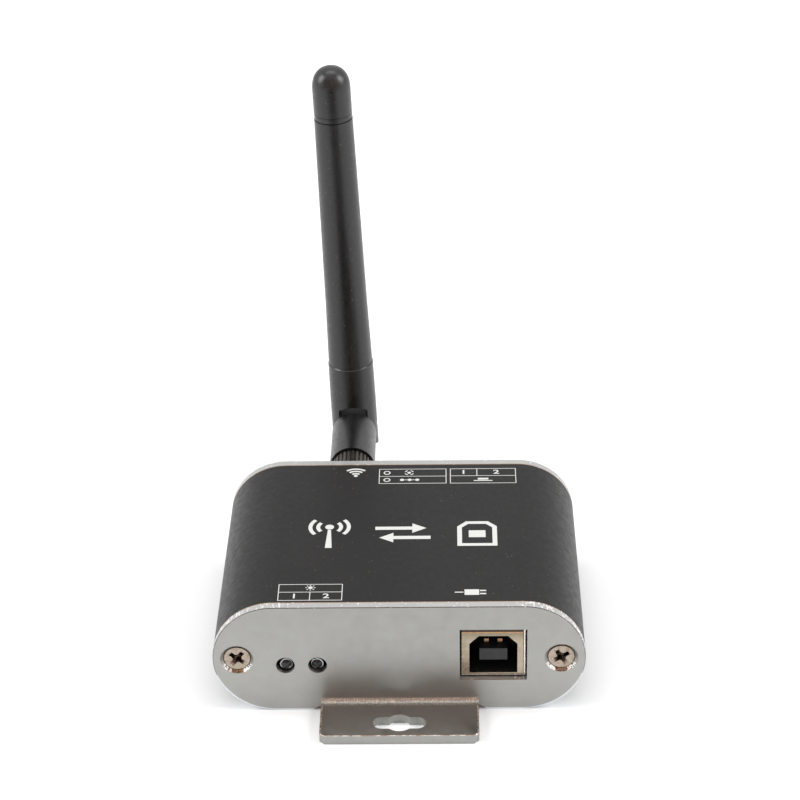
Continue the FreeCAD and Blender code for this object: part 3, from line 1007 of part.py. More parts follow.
# Bridge chip with two rows of legs, its crystal, a regulator and two canned capacitors
def board_parts():
    half = "bridge_width / 2"
    low = "(board_top + 0.1)"
    block("bridge_block", (f"bridge_place - {half}", "-bridge_length / 2", low),
          (f"bridge_place + {half}", "bridge_length / 2", "board_top + bridge_height"), "bridge_chip")
    legs = new_body("bridge_chip_legs")
    pads = []
    for side, sign in (("left", "-"), ("right", "+")):
        sketch = new_sketch(legs, f"bridge_{side}_leg", z="bridge_leg_pitch * (bridge_legs - 1) / 2")
        near = f"bridge_place {sign} {half}"
        step = f"bridge_place {sign} ({half} + bridge_row_reach / 2)"
        far = f"bridge_place {sign} ({half} + bridge_row_reach)"
        rise = "board_top + bridge_leg_height"
        polygon(sketch, [(near, rise), (step, rise), (step, "board_top"), (far, "board_top"),
                         (far, "board_top + 0.15"), (f"{step} {sign} 0.15", "board_top + 0.15"),
                         (f"{step} {sign} 0.15", f"{rise} + 0.15"), (near, f"{rise} + 0.15")])
        pads.append(feature("Pad", sketch, f"bridge_{side}_leg_bar", "bridge_leg_width", middle=True))
    axis = (next(o for o in legs.Origin.OriginFeatures if o.Role == "Y_Axis"), [""])
    repeated("LinearPattern", legs, "bridge_leg_rows", pads, axis,
             Length="bridge_leg_pitch * (bridge_legs - 1)", Occurrences="bridge_legs")
    can = doc.addObject("Part::Box", "crystal_bar")
    bind(can, Length="crystal_width", Width="crystal_length", Height="crystal_height",
         Placement__Base__x="crystal_place - crystal_width / 2",
         Placement__Base__y="crystal_back - crystal_length / 2", Placement__Base__z="board_top")
    crystal = doc.addObject("Part::Fillet", "crystal_rounded")
    crystal.Base = can
    radius = value("crystal_width") / 2 - 0.05
    doc.recompute()
    tall = [k for k, e in enumerate(can.Shape.Edges, start=1) if runs_along(e, 2)]
    crystal.Edges = [(k, radius, radius) for k in tall]
    crystal.Label = "crystal_can"
    exports.append(crystal)
    regulator = f"{BOARD_SIDE} - regulator_margin"
    low_corner = (f"{regulator} - regulator_width / 2", "regulator_back - regulator_length / 2", "board_top")
    high_corner = (f"{regulator} + regulator_width / 2", "regulator_back + regulator_length / 2",
                   "board_top + regulator_height")
    block("regulator_bar", low_corner, high_corner, "regulator_chip")
    cans = new_body("capacitor_cans")
    profile = new_sketch(cans, "can_profile", role="XZ_Plane", x="can_place - can_pitch / 2", z="can_front")
    polygon(profile, [("0", "board_top"), ("can_outer / 2 + 0.2", "board_top"),
                      ("can_outer / 2 + 0.2", "board_top + can_foot"), ("can_outer / 2", "board_top + can_foot"),
                      ("can_outer / 2", "board_top + can_height"), ("0", "board_top + can_height")])
    one = turned("Revolution", profile, "can_turned")
    axis = (next(o for o in cans.Origin.OriginFeatures if o.Role == "X_Axis"), [""])
    repeated("LinearPattern", cans, "can_pair", [one], axis, Length="can_pitch", Occurrences="2")


radio_module()
board_parts()

doc.recompute()
faults = [item.Name for item in doc.Objects if "Invalid" in item.State or "Error" in item.State]
for item in exports:
    if item.Shape.isNull() or not item.Shape.isValid() or not item.Shape.Solids:
        faults.append(item.Label)
if faults:
    raise RuntimeError("failed: " + ", ".join(faults))

os.makedirs("parts", exist_ok=True)
for item in exports:
    item.Shape.exportStep(f"parts/{item.Label}.step")
    box = item.Shape.BoundBox
    spans = ((box.XMin, box.XMax), (box.YMin, box.YMax), (box.ZMin, box.ZMax))
    print(f"{item.Label:24s} {len(item.Shape.Solids):3d} {item.Shape.Volume:9.2f} "
          + " ".join(f"{low:7.2f} {high:7.2f}" for low, high in spans))
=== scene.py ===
import json
import math
import random
import bmesh
import bpy
from mathutils import Matrix, Vector


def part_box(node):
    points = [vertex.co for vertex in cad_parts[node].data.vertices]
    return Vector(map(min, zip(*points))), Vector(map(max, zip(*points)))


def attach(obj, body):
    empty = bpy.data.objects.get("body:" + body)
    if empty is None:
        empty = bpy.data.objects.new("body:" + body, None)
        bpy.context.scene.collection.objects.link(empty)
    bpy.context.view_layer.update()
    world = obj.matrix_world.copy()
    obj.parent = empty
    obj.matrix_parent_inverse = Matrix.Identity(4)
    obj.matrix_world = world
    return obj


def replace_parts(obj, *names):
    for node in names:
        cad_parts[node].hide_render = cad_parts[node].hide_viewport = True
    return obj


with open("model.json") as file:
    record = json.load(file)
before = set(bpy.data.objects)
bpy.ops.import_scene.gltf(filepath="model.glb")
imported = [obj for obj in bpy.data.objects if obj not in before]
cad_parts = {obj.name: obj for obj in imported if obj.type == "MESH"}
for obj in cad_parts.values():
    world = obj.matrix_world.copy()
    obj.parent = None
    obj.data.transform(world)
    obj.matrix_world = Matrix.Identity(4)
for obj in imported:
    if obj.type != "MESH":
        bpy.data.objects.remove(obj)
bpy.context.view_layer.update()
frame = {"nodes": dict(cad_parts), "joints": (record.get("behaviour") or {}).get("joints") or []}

MM = 0.001

# View of the photograph: a long lens in front of the object, looking down by about thirty
# degrees. Its place and turns were fitted to the end plates, screw holes, lamp holes and socket.
PHOTO_WIDTH = 800
FOCAL_PIXELS = 2474.3
SENSOR = 36.0
CAMERA_PLACE = Vector((9.622, -399.475, 279.455)) * MM
YAW = math.radians(-1.305)
PITCH = math.radians(29.678)
ROLL = math.radians(-1.107)

camera_data = bpy.data.cameras.new("photo_camera")
camera_data.sensor_width = SENSOR
camera_data.lens = FOCAL_PIXELS / PHOTO_WIDTH * SENSOR
camera_data.clip_start = 0.01
camera_data.clip_end = 20
camera = bpy.data.objects.new("photo_camera", camera_data)
bpy.context.scene.collection.objects.link(camera)
ahead = Vector((math.sin(YAW) * math.cos(PITCH), math.cos(YAW) * math.cos(PITCH), -math.sin(PITCH)))
level = Vector((math.cos(YAW), -math.sin(YAW), 0))
above = level.cross(ahead)
right = math.cos(ROLL) * level + math.sin(ROLL) * above
up = math.cos(ROLL) * above - math.sin(ROLL) * level
camera.matrix_world = Matrix.Translation(CAMERA_PLACE) @ Matrix((right, up, -ahead)).transposed().to_4x4()
bpy.context.scene.camera = camera
bpy.context.scene.view_settings.view_transform = "Standard"


# Light tent: a tall softbox at each side, which draws the pale bands on the whip and the round
# ends, one overhead, and a white surround that the camera, metal and clear resin see in full.
# The sizes of the tent, the table and the room are in metres.
SOFTBOX_AIM = Vector((0, 0, 0.03))
SURROUND_LIGHT = 0.70
SURROUND_SEEN = 1.0


def softbox(name, place, width, height, power):
    """A rectangular light that faces the object."""
    light = bpy.data.lights.new(name, "AREA")
    light.shape = "RECTANGLE"
    light.size = width
    light.size_y = height
    light.energy = power
    lamp = bpy.data.objects.new(name, light)
    aim = SOFTBOX_AIM - Vector(place)
    lamp.matrix_world = Matrix.Translation(place) @ aim.to_track_quat("-Z", "Y").to_matrix().to_4x4()
    bpy.context.scene.collection.objects.link(lamp)


for side, name in ((-1, "left_softbox"), (1, "right_softbox")):
    softbox(name, place=(0.80 * side, -0.10, 0.55), width=0.34, height=0.50, power=4.8)
softbox("top_softbox", place=(0, 0.22, 1.0), width=0.70, height=0.40, power=2.4)

world = bpy.data.worlds.new("light_tent")
bpy.context.scene.world = world
world.use_nodes = True
tent = world.node_tree
surround = tent.nodes["Background"]
surround.inputs["Color"].default_value = (1, 1, 1, 1)
rays = tent.nodes.new("ShaderNodeLightPath")
seen_white = rays.outputs["Is Camera Ray"]
for kind in ("Is Glossy Ray", "Is Transmission Ray"):
    either = tent.nodes.new("ShaderNodeMath")
    either.operation = "MAXIMUM"
    tent.links.new(seen_white, either.inputs[0])
    tent.links.new(rays.outputs[kind], either.inputs[1])
    seen_white = either.outputs[0]
strength = tent.nodes.new("ShaderNodeMapRange")
strength.inputs["To Min"].default_value = SURROUND_LIGHT
strength.inputs["To Max"].default_value = SURROUND_SEEN
tent.links.new(seen_white, strength.inputs["Value"])
tent.links.new(strength.outputs["Result"], surround.inputs["Strength"])


# Table: a matt white sheet just under the object. It ends before the room's wall and has no
# shine, so that the wall isn't mirrored in it.
FLOOR_HALF = 0.93
FLOOR_GAP = 0.02 * MM


def shader_inputs(mat):
    """The inputs of a material's shader."""
    return mat.node_tree.nodes["Principled BSDF"].inputs


def surface(name, colour, metal, rough, shine=0.5):
    """A material with its colour, metal, gloss and shine set on its shader."""
    mat = bpy.data.materials.new(name)
    mat.use_nodes = True
    inputs = shader_inputs(mat)
    inputs["Base Color"].default_value = (*colour, 1)
    inputs["Metallic"].default_value = metal
    inputs["Roughness"].default_value = rough
    inputs["Specular IOR Level"].default_value = shine
    return mat


floor_mesh = bpy.data.meshes.new("floor")
floor_mesh.from_pydata([(-FLOOR_HALF, -FLOOR_HALF, 0), (FLOOR_HALF, -FLOOR_HALF, 0),
                        (FLOOR_HALF, FLOOR_HALF, 0), (-FLOOR_HALF, FLOOR_HALF, 0)], [], [(0, 1, 2, 3)])
floor_mesh.materials.append(surface("white_sweep", (0.96, 0.96, 0.96), 0, 0.9, shine=0))
floor = bpy.data.objects.new("floor", floor_mesh)
floor.location.z = -FLOOR_GAP
bpy.context.scene.collection.objects.link(floor)


# Room in front of the table: a warm brown wall behind the camera, and before it a dark strip on
# the ground, a painted shade. They are seen only as reflections, in the metal and down the middle of the
# whip.
WALL_PLACE = -0.95
WALL_HALF = 1.4
WALL_LOW = 0.02
WALL_HIGH = 1.25
GROUND_LEVEL = 0.001
GROUND_NEAR = -0.092
NEAR_HALF = 0.09
FAR_HALF = 0.20


def reflected(name, corners, colour):
    """A card that only reflections show."""
    card_mesh = bpy.data.meshes.new(name)
    card_mesh.from_pydata(corners, [], [(0, 1, 2, 3)])
    card_mesh.materials.append(surface(name, colour, 0, 0.9))
    card = bpy.data.objects.new(name, card_mesh)
    card.visible_camera = False
    card.visible_shadow = False
    card.visible_diffuse = False
    bpy.context.scene.collection.objects.link(card)


reflected("front_wall", [(-WALL_HALF, WALL_PLACE, WALL_LOW), (WALL_HALF, WALL_PLACE, WALL_LOW),
                         (WALL_HALF, WALL_PLACE, WALL_HIGH), (-WALL_HALF, WALL_PLACE, WALL_HIGH)],
          (0.62, 0.43, 0.37))
# The dark strip is painted shade that only reflections show
reflected("reflected_shade_strip", [(-FAR_HALF, WALL_PLACE, GROUND_LEVEL), (FAR_HALF, WALL_PLACE, GROUND_LEVEL),
                           (NEAR_HALF, GROUND_NEAR, GROUND_LEVEL), (-NEAR_HALF, GROUND_NEAR, GROUND_LEVEL)],
          (0.03, 0.022, 0.02))


# Extruded shell: an aluminium extrusion, cut to length, blasted fine and anodised black. The
# grain is only felt, the dye is a little uneven, and some dust lies in it.
NOISE_LOW = 0.35
NOISE_HIGH = 0.65


def wired(mat, kind, inputs, operation=None):
    """A shader node, each input set to a value or joined to another node's output."""
    made = mat.node_tree.nodes.new(kind)
    if operation:
        made.operation = operation
    for key, given in inputs.items():
        if isinstance(given, bpy.types.NodeSocket):
            mat.node_tree.links.new(given, made.inputs[key])
        else:
            made.inputs[key].default_value = given
    return made


def noise(mat, size, detail=2.0, stretch=(1, 1, 1)):
    """Noise through the piece, its lumps about size millimetres across."""
    place = wired(mat, "ShaderNodeTexCoord", {})
    drawn = wired(mat, "ShaderNodeMapping", {"Vector": place.outputs["Object"], "Scale": stretch})
    cloud = wired(mat, "ShaderNodeTexNoise", {"Vector": drawn.outputs["Vector"], "Scale": 1 / (size * MM),
                                              "Detail": detail})
    return cloud.outputs["Fac"]


def spread(mat, source, low, high, to_low=0.0, to_high=1.0):
    """The source between low and high, drawn out to another range."""
    ruled = wired(mat, "ShaderNodeMapRange", {"Value": source, "From Min": low, "From Max": high,
                                              "To Min": to_low, "To Max": to_high})
    return ruled.outputs["Result"]


def lifted(mat, source, depth):
    """Relief, depth in millimetres, over whatever relief the material has."""
    bump = wired(mat, "ShaderNodeBump", {"Height": source, "Distance": depth * MM, "Strength": 1.0})
    normal = shader_inputs(mat)["Normal"]
    if normal.links:
        mat.node_tree.links.new(normal.links[0].from_socket, bump.inputs["Normal"])
    mat.node_tree.links.new(bump.outputs["Normal"], normal)


def gloss(mat, source, low, high):
    """Roughness that goes from low to high with a noise."""
    rough = spread(mat, source, NOISE_LOW, NOISE_HIGH, low, high)
    mat.node_tree.links.new(rough, shader_inputs(mat)["Roughness"])


def tinted(mat, share, colour):
    """Another colour laid over the material's own, by a share from 0 to 1."""
    base = shader_inputs(mat)["Base Color"]
    given = base.links[0].from_socket if base.links else base.default_value[:]
    mixed = wired(mat, "ShaderNodeMixRGB", {"Fac": share, "Color1": given, "Color2": (*colour, 1)})
    mat.node_tree.links.new(mixed.outputs["Color"], base)


def dress(mat, *names):
    """The material put on CAD nodes."""
    for name in names:
        node = frame["nodes"][name]
        node.data.materials.clear()
        node.data.materials.append(mat)


shell_black = surface("blasted_black", (0.010, 0.0092, 0.009), 0.0, 0.45, shine=0.22)
lifted(shell_black, noise(shell_black, 0.16, 3), 0.006)
gloss(shell_black, noise(shell_black, 1.2, 3), 0.38, 0.48)
tinted(shell_black, spread(shell_black, noise(shell_black, 9.0), 0.35, 0.7, 0, 0.5), (0.014, 0.0125, 0.012))
tinted(shell_black, spread(shell_black, noise(shell_black, 0.4, 1), 0.765, 0.79), (0.12, 0.11, 0.10))
dress(shell_black, "extruded_shell")


# End plates: satin plated sheet, laser cut, with the ear bent out of the foot on a press brake.
# The faces hold a soft reflection. The cut edges are drawn across their thickness, with painted
# light on the upright plate's cut faces and painted shade on the ear's.
SHEET = 1.8
EAR_HALF = 14.7
BEND_TOP = 2.9
BEND_LOW = 2.6
FLAT_START = 27.3
RIM_WIDTH = 0.18
TURNED = 0.5
SQUARE = 0.9


def spans(node):
    """A node's lowest and highest corners at rest, in millimetres."""
    return [Vector(corner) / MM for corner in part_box(node)]


plate_low, plate_high = spans("front_plate")
MID_HEIGHT = plate_high.z / 2
END_CENTRE = plate_high.x - MID_HEIGHT
EAR_END = -plate_low.y
SHELL_END = -plate_high.y
PLATE_OUTER = SHELL_END + SHEET
RIM_START = MID_HEIGHT - RIM_WIDTH


def parts_of(mat, kind):
    """The x, y and z of a point's place or facing, in the piece's own axes."""
    whole = wired(mat, "ShaderNodeTexCoord", {}).outputs[kind]
    return wired(mat, "ShaderNodeSeparateXYZ", {"Vector": whole}).outputs


def calc(mat, operation, first, second=0.0):
    """Arithmetic between two sockets or values."""
    return wired(mat, "ShaderNodeMath", {0: first, 1: second}, operation).outputs[0]


def over(mat, measure, limit):
    """A mask of where a measure is more than so many millimetres."""
    return calc(mat, "GREATER_THAN", measure, limit * MM)


def under(mat, measure, limit):
    """A mask of where a measure is less than so many millimetres."""
    return calc(mat, "LESS_THAN", measure, limit * MM)


def times(mat, first, *others):
    """Masks and shares multiplied together."""
    for other in others:
        first = calc(mat, "MULTIPLY", first, other)
    return first


def distance(mat, *offsets):
    """How far a point is from an axis, from its two offsets."""
    squares = [times(mat, offset, offset) for offset in offsets]
    return calc(mat, "SQRT", calc(mat, "ADD", *squares))


satin = surface("satin_plate", (0.365, 0.365, 0.348), 1.0, 0.24)
across, along, flat = [calc(satin, "ABSOLUTE", part) for part in parts_of(satin, "Normal")]
place_x, place_y, place_z = parts_of(satin, "Object")
off_middle = calc(satin, "ABSOLUTE", place_x)
off_centre = calc(satin, "ABSOLUTE", place_y)

# Cut faces: all round the upright plate, and the ear's end and sides
upright = calc(satin, "MAXIMUM", over(satin, place_z, BEND_TOP), over(satin, off_middle, EAR_HALF + 0.05))
upright_cut = times(satin, upright, calc(satin, "LESS_THAN", along, TURNED))
ear_end_cut = times(satin, over(satin, off_centre, FLAT_START), calc(satin, "LESS_THAN", flat, TURNED))
ear_side_cut = calc(satin, "GREATER_THAN", across, TURNED)
ear_cut = times(satin, calc(satin, "SUBTRACT", 1.0, upright),
                calc(satin, "MAXIMUM", ear_end_cut, ear_side_cut))
cut_face = calc(satin, "MAXIMUM", upright_cut, ear_cut)
back_edge = times(satin, upright_cut, under(satin, off_centre, SHELL_END + 0.2))
tinted(satin, spread(satin, noise(satin, 2.5, 3), 0.3, 0.7, 0, 0.6), (0.335, 0.335, 0.318))
tinted(satin, spread(satin, noise(satin, 0.28, 1), 0.775, 0.79, 0, 0.7), (0.12, 0.11, 0.10))
# Painted light on the upright plate's cut faces, then painted shade on the ear's cut faces
tinted(satin, times(satin, upright_cut, 0.9), (0.53, 0.53, 0.52))
tinted(satin, times(satin, ear_cut, 0.9), (0.34, 0.345, 0.33))
tinted(satin, times(satin, back_edge, 0.85), (0.42, 0.25, 0.14))

# The broken edge round the outline is a crisp line, dark above, with a painted highlight low down,
# and a painted glow on the face beside it that stands for the light of the table
LOW_DOWN = 8
GLOW_TOP = 9
GLOW_FULL = 4
past_end = calc(satin, "MAXIMUM", calc(satin, "SUBTRACT", off_middle, END_CENTRE * MM), 0.0)
off_height = calc(satin, "SUBTRACT", place_z, MID_HEIGHT * MM)
from_axis = distance(satin, past_end, off_height)
sloped = times(satin, calc(satin, "GREATER_THAN", along, TURNED), calc(satin, "LESS_THAN", along, SQUARE))
rim_line = times(satin, sloped, over(satin, from_axis, RIM_START))
tinted(satin, times(satin, rim_line, 0.85), (0.10, 0.095, 0.09))
# Painted highlight on the broken edge low down, then a painted glow on the face beside it
tinted(satin, times(satin, rim_line, under(satin, place_z, LOW_DOWN)), (0.85, 0.90, 0.95))
low_half = spread(satin, place_z, GLOW_TOP * MM, GLOW_FULL * MM)
foot_glow_line = spread(satin, from_axis, (RIM_START - 0.22) * MM, (RIM_START - 0.02) * MM, 0, 0.9)
tinted(satin, times(satin, foot_glow_line, low_half, upright), (0.80, 0.85, 0.90))

# Torn streaks where the front plate's cut turns down at the round ends, painted bright as a highlight where
# the cut turns toward the light
STREAKS_START = 21
turned_down = times(satin, over(satin, off_middle, STREAKS_START), under(satin, place_y, 0))
torn_streak_highlight = spread(satin, noise(satin, 0.5, 4, (1, 0.35, 1)), 0.53, 0.62, 0, 0.8)
tinted(satin, times(satin, torn_streak_highlight, turned_down, upright_cut), (0.95, 0.95, 0.93))

# The countersinks carry a painted highlight below the head, bright at the sides, and are brown in the middle
# below the head, with dark streaks
HEAD_RADIUS = 2.6
screws_low, screws_high = spans("front_screws")
SCREW_OFFSET = screws_high.x - HEAD_RADIUS
SINK_RIM = 3.1
SINK_DEPTH = 0.03
BELOW_HEAD = 1.2
BROWN_HALF = 1.1
beside = calc(satin, "SUBTRACT", off_middle, SCREW_OFFSET * MM)
in_sink = times(satin, under(satin, distance(satin, beside, off_height), SINK_RIM),
                under(satin, off_centre, PLATE_OUTER - SINK_DEPTH))
below_head = times(satin, in_sink, under(satin, off_height, -BELOW_HEAD))
brown_below_head = times(satin, below_head, under(satin, calc(satin, "ABSOLUTE", beside), BROWN_HALF))
sink_streaks = spread(satin, noise(satin, 0.3, 2), 0.5, 0.56)
# Painted highlight in the countersink below the head
tinted(satin, times(satin, below_head, 0.9), (0.95, 0.94, 0.90))
tinted(satin, times(satin, brown_below_head, 0.95), (0.30, 0.17, 0.09))
tinted(satin, times(satin, sink_streaks, below_head, 0.8), (0.06, 0.05, 0.05))

# Bright nicks in the cut edges, and warm specks along the bend where the press roughened the sheet, painted
# bright as the bend's highlight
nicks = spread(satin, noise(satin, 0.5, 4), 0.64, 0.68)
tinted(satin, times(satin, nicks, calc(satin, "MAXIMUM", rim_line, upright_cut)), (0.92, 0.92, 0.92))
in_bend = times(satin, under(satin, off_centre, FLAT_START), under(satin, place_z, BEND_LOW),
                under(satin, off_middle, EAR_HALF))
rubbed_bend_highlight = spread(satin, noise(satin, 0.22, 3), 0.5, 0.6, 0, 0.7)
# Painted highlight along the bend
tinted(satin, times(satin, rubbed_bend_highlight, in_bend), (0.92, 0.74, 0.58))

lifted(satin, noise(satin, 0.14, 2), 0.0012)
drawn_lines = noise(satin, 0.12, 2, (1, 0.12, 1))
lifted(satin, times(satin, drawn_lines, cut_face), 0.012)
face_gloss = spread(satin, noise(satin, 1.6, 3), 0.3, 0.7, 0.33, 0.41)
plate_gloss = calc(satin, "ADD", face_gloss, times(satin, cut_face, 0.10))
satin.node_tree.links.new(plate_gloss, shader_inputs(satin)["Roughness"])
dress(satin, "front_plate", "rear_plate")

# The ear's upper edge is rolled over by the press, and the bead along it is painted bright as its highlight,
# which shows most of all at its two corners
EAR_CORNER = 1.3
ROLL_RADIUS = 0.17
ROLL_RISE = 0.09
CORNER_STEPS = 8


def piece(name, mesh, mat, body):
    """A new piece whose mesh is in millimetres, put on its body with its material."""
    mesh.transform(Matrix.Scale(MM, 4))
    mesh.shade_smooth()
    mesh.set_sharp_from_angle(angle=math.radians(35))
    item = bpy.data.objects.new(name, mesh)
    bpy.context.scene.collection.objects.link(item)
    mesh.materials.clear()
    mesh.materials.append(mat)
    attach(item, body)
    return item


def loose(name, data):
    """An object that is on no body, made only to be worked on."""
    item = bpy.data.objects.new(name, data)
    bpy.context.scene.collection.objects.link(item)
    return item


def worked(item):
    """The mesh that a loose object has once its modifiers have worked on it."""
    bpy.context.view_layer.update()
    made = bpy.data.meshes.new_from_object(item.evaluated_get(bpy.context.evaluated_depsgraph_get()))
    bpy.data.objects.remove(item)
    return made


# The bead's metal is painted far brighter than the plate's, as a painted highlight
rolled_edge_highlight = surface("rolled_edge_highlight", (0.90, 0.89, 0.86), 1.0, 0.3)
gloss(rolled_edge_highlight, noise(rolled_edge_highlight, 0.5, 3), 0.2, 0.42)
lifted(rolled_edge_highlight, noise(rolled_edge_highlight, 0.35, 3), 0.02)
tinted(rolled_edge_highlight, spread(rolled_edge_highlight, noise(rolled_edge_highlight, 0.9, 3), 0.42, 0.6), (0.50, 0.36, 0.26))

reach = EAR_HALF - ROLL_RADIUS
end_line = EAR_END - ROLL_RADIUS
bend_round = EAR_CORNER - ROLL_RADIUS
edge_path = [(-reach, FLAT_START)]
for k in range(CORNER_STEPS + 1):
    angle = math.radians(180 - 90 * k / CORNER_STEPS)
    edge_path.append((-reach + bend_round + bend_round * math.cos(angle),
                      end_line - bend_round + bend_round * math.sin(angle)))
edge_path += [(-x, y) for x, y in reversed(edge_path)]
for name, outward in (("front_ear_roll", -1), ("rear_ear_roll", 1)):
    bead = bpy.data.curves.new(name, "CURVE")
    bead.dimensions = "3D"
    bead.bevel_depth = ROLL_RADIUS
    bead.bevel_resolution = 3
    bead.use_fill_caps = True
    line = bead.splines.new("POLY")
    line.points.add(len(edge_path) - 1)
    for point, (x, y) in zip(line.points, edge_path):
        point.co = (x, outward * y, SHEET - ROLL_RADIUS + ROLL_RISE, 1)
    piece(name, worked(loose(name, bead)), rolled_edge_highlight, "housing")


# Plate screws: nickel plated countersunk screws with a deep cross recess, two to a plate. Each
# is driven home to a different turn, and the driver has raised small burrs at the recess.
SCREW_FACE = -screws_low.y
SCREW_LENGTH = screws_high.y - screws_low.y
HEAD_LAND = 0.07
HEAD_ROLL = ((0.24, 0), (0.11, 0.035), (0.04, HEAD_LAND + 0.04))
SHANK_RADIUS = 1.25
POINT_LENGTH = 0.8
POINT_RADIUS = 0.5
CROSS_REACH = 1.85
CROSS_HALF = 0.45
CROSS_DEPTH = 1.35
BURR_BEAD = ((0, -0.1), (0.13, -0.04), (0.17, 0.02), (0.11, 0.07), (0, 0.08))
BURR_PLACE = 1.78
BURR_TURN = 12
BURR = 0.035
BURR_LOW = -0.01
BURR_HIGH = 0.05


def spun(profile, steps=64):
    """Points and faces of a solid turned about Z, from its profile as (radius, height)."""
    points, faces, rings = [], [], []
    for radius, height in profile:
        if radius == 0:
            rings.append([len(points)] * steps)
            points.append((0, 0, height))
        else:
            rings.append([len(points) + k for k in range(steps)])
            angles = [math.tau * k / steps for k in range(steps)]
            points += [(radius * math.cos(angle), radius * math.sin(angle), height) for angle in angles]
    for low, high in zip(rings, rings[1:]):
        for k in range(steps):
            corners = [low[k], low[(k + 1) % steps], high[(k + 1) % steps], high[k]]
            faces.append([c for n, c in enumerate(corners) if c not in corners[:n]])
    return points, faces


def mesh_of(name, points, faces):
    """A mesh with its faces turned outward."""
    mesh = bpy.data.meshes.new(name)
    mesh.from_pydata(points, [], faces)
    shape = bmesh.new()
    shape.from_mesh(mesh)
    bmesh.ops.recalc_face_normals(shape, faces=shape.faces)
    shape.to_mesh(mesh)
    shape.free()
    return mesh


def joined(name, meshes):
    """Several meshes as one."""
    whole = bmesh.new()
    for mesh in meshes:
        whole.from_mesh(mesh)
    made = bpy.data.meshes.new(name)
    whole.to_mesh(made)
    whole.free()
    return made


def driver_tip():
    """Four arms that narrow to the point, with the corners between them cut."""
    mouth = {"height": 0.3, "reach": CROSS_REACH + 0.08, "half": CROSS_HALF + 0.02, "corner": 0.86}
    bottom = {"height": -CROSS_DEPTH, "reach": 0.62, "half": 0.26, "corner": 0.34}
    points = []
    for cross in (mouth, bottom):
        for k in range(4):
            quarter = Matrix.Rotation(k * math.pi / 2, 2)
            for away, sideways in (("corner", -1), ("reach", -1), ("reach", 1), ("corner", 1)):
                x, y = quarter @ Vector((cross[away], sideways * cross["half"]))
                points.append((x, y, cross["height"]))
    ring = len(points) // 2
    faces = [list(range(ring)), [ring + k for k in range(ring)]]
    faces += [[k, (k + 1) % ring, ring + (k + 1) % ring, ring + k] for k in range(ring)]
    return mesh_of("driver_tip", points, faces)


def screw_mesh():
    """One screw about Z, its face at the origin, with a cross cut by the driver's tip."""
    profile = [(0, 0)] + [(HEAD_RADIUS - inward, -down) for inward, down in HEAD_ROLL]
    profile += [(SHANK_RADIUS, -HEAD_LAND - HEAD_RADIUS + SHANK_RADIUS),
                (SHANK_RADIUS, -SCREW_LENGTH + POINT_LENGTH),
                (POINT_RADIUS, -SCREW_LENGTH), (0, -SCREW_LENGTH)]
    blank = loose("screw", mesh_of("screw", *spun(profile)))
    tip = loose("driver_tip", driver_tip())
    recess = blank.modifiers.new("recess", "BOOLEAN")
    recess.operation = "DIFFERENCE"
    recess.solver = "EXACT"
    recess.object = tip
    soft_edge = blank.modifiers.new("soft_edge", "BEVEL")
    soft_edge.width = 0.06
    soft_edge.segments = 2
    soft_edge.limit_method = "ANGLE"
    soft_edge.angle_limit = math.radians(32)
    cut = worked(blank)
    bpy.data.objects.remove(tip)
    beads = []
    for k in range(4):
        angle = math.radians(90 * k + BURR_TURN)
        bead = mesh_of("bead", *spun(BURR_BEAD, 10))
        bead.transform(Matrix.Translation((BURR_PLACE * math.cos(angle), BURR_PLACE * math.sin(angle), 0)))
        beads.append(bead)
    made = joined("screw", [cut] + beads)
    burr = random.Random(7)
    for point in made.vertices:
        if math.hypot(point.co.x, point.co.y) < CROSS_REACH + 0.1 and -0.12 < point.co.z < 0.01:
            point.co += Vector((burr.uniform(-BURR, BURR), burr.uniform(-BURR, BURR),
                                burr.uniform(BURR_LOW, BURR_HIGH)))
    return made


nickel = surface("plated_nickel", (0.40, 0.34, 0.28), 1.0, 0.26)
gloss(nickel, noise(nickel, 0.5, 3), 0.2, 0.36)
lifted(nickel, noise(nickel, 0.35, 3), 0.008)
tinted(nickel, spread(nickel, noise(nickel, 0.7, 3), 0.45, 0.75, 0, 0.7), (0.24, 0.18, 0.13))

# The head's rolled edge and the depth of the cross are painted dark brown as shade
CROSS_SHADE_START = 0.08
CROSS_SHADE_FULL = 0.5
place_x, place_y, place_z = parts_of(nickel, "Object")
aside = calc(nickel, "SUBTRACT", calc(nickel, "ABSOLUTE", place_x), SCREW_OFFSET * MM)
off_height = calc(nickel, "SUBTRACT", place_z, MID_HEIGHT * MM)
depth = calc(nickel, "SUBTRACT", SCREW_FACE * MM, calc(nickel, "ABSOLUTE", place_y))
rolled_rim_shade = over(nickel, distance(nickel, aside, off_height), HEAD_RADIUS - 0.2)
deep_cross_shade = spread(nickel, depth, CROSS_SHADE_START * MM, CROSS_SHADE_FULL * MM)
tinted(nickel, times(nickel, calc(nickel, "MAXIMUM", rolled_rim_shade, deep_cross_shade), 0.85), (0.05, 0.038, 0.03))

screw = screw_mesh()


def screw_pair(name, node, outward, left_turn, right_turn):
    """Two screws in a plate, outward being -1 for the front plate and 1 for the rear one."""
    stand = Matrix(((-outward, 0, 0), (0, 0, outward), (0, 1, 0))).to_4x4()
    both = []
    for side, turn in ((-1, left_turn), (1, right_turn)):
        spot = Vector((-outward * side * SCREW_OFFSET, outward * SCREW_FACE, MID_HEIGHT))
        one = screw.copy()
        one.transform(Matrix.Translation(spot) @ stand @ Matrix.Rotation(math.radians(turn), 4, "Z"))
        both.append(one)
    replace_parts(piece(name, joined(name, both), nickel, "housing"), node)


screw_pair("front_plate_screws", "front_screws", -1, left_turn=52, right_turn=32)
screw_pair("rear_plate_screws", "rear_screws", 1, left_turn=12, right_turn=67)


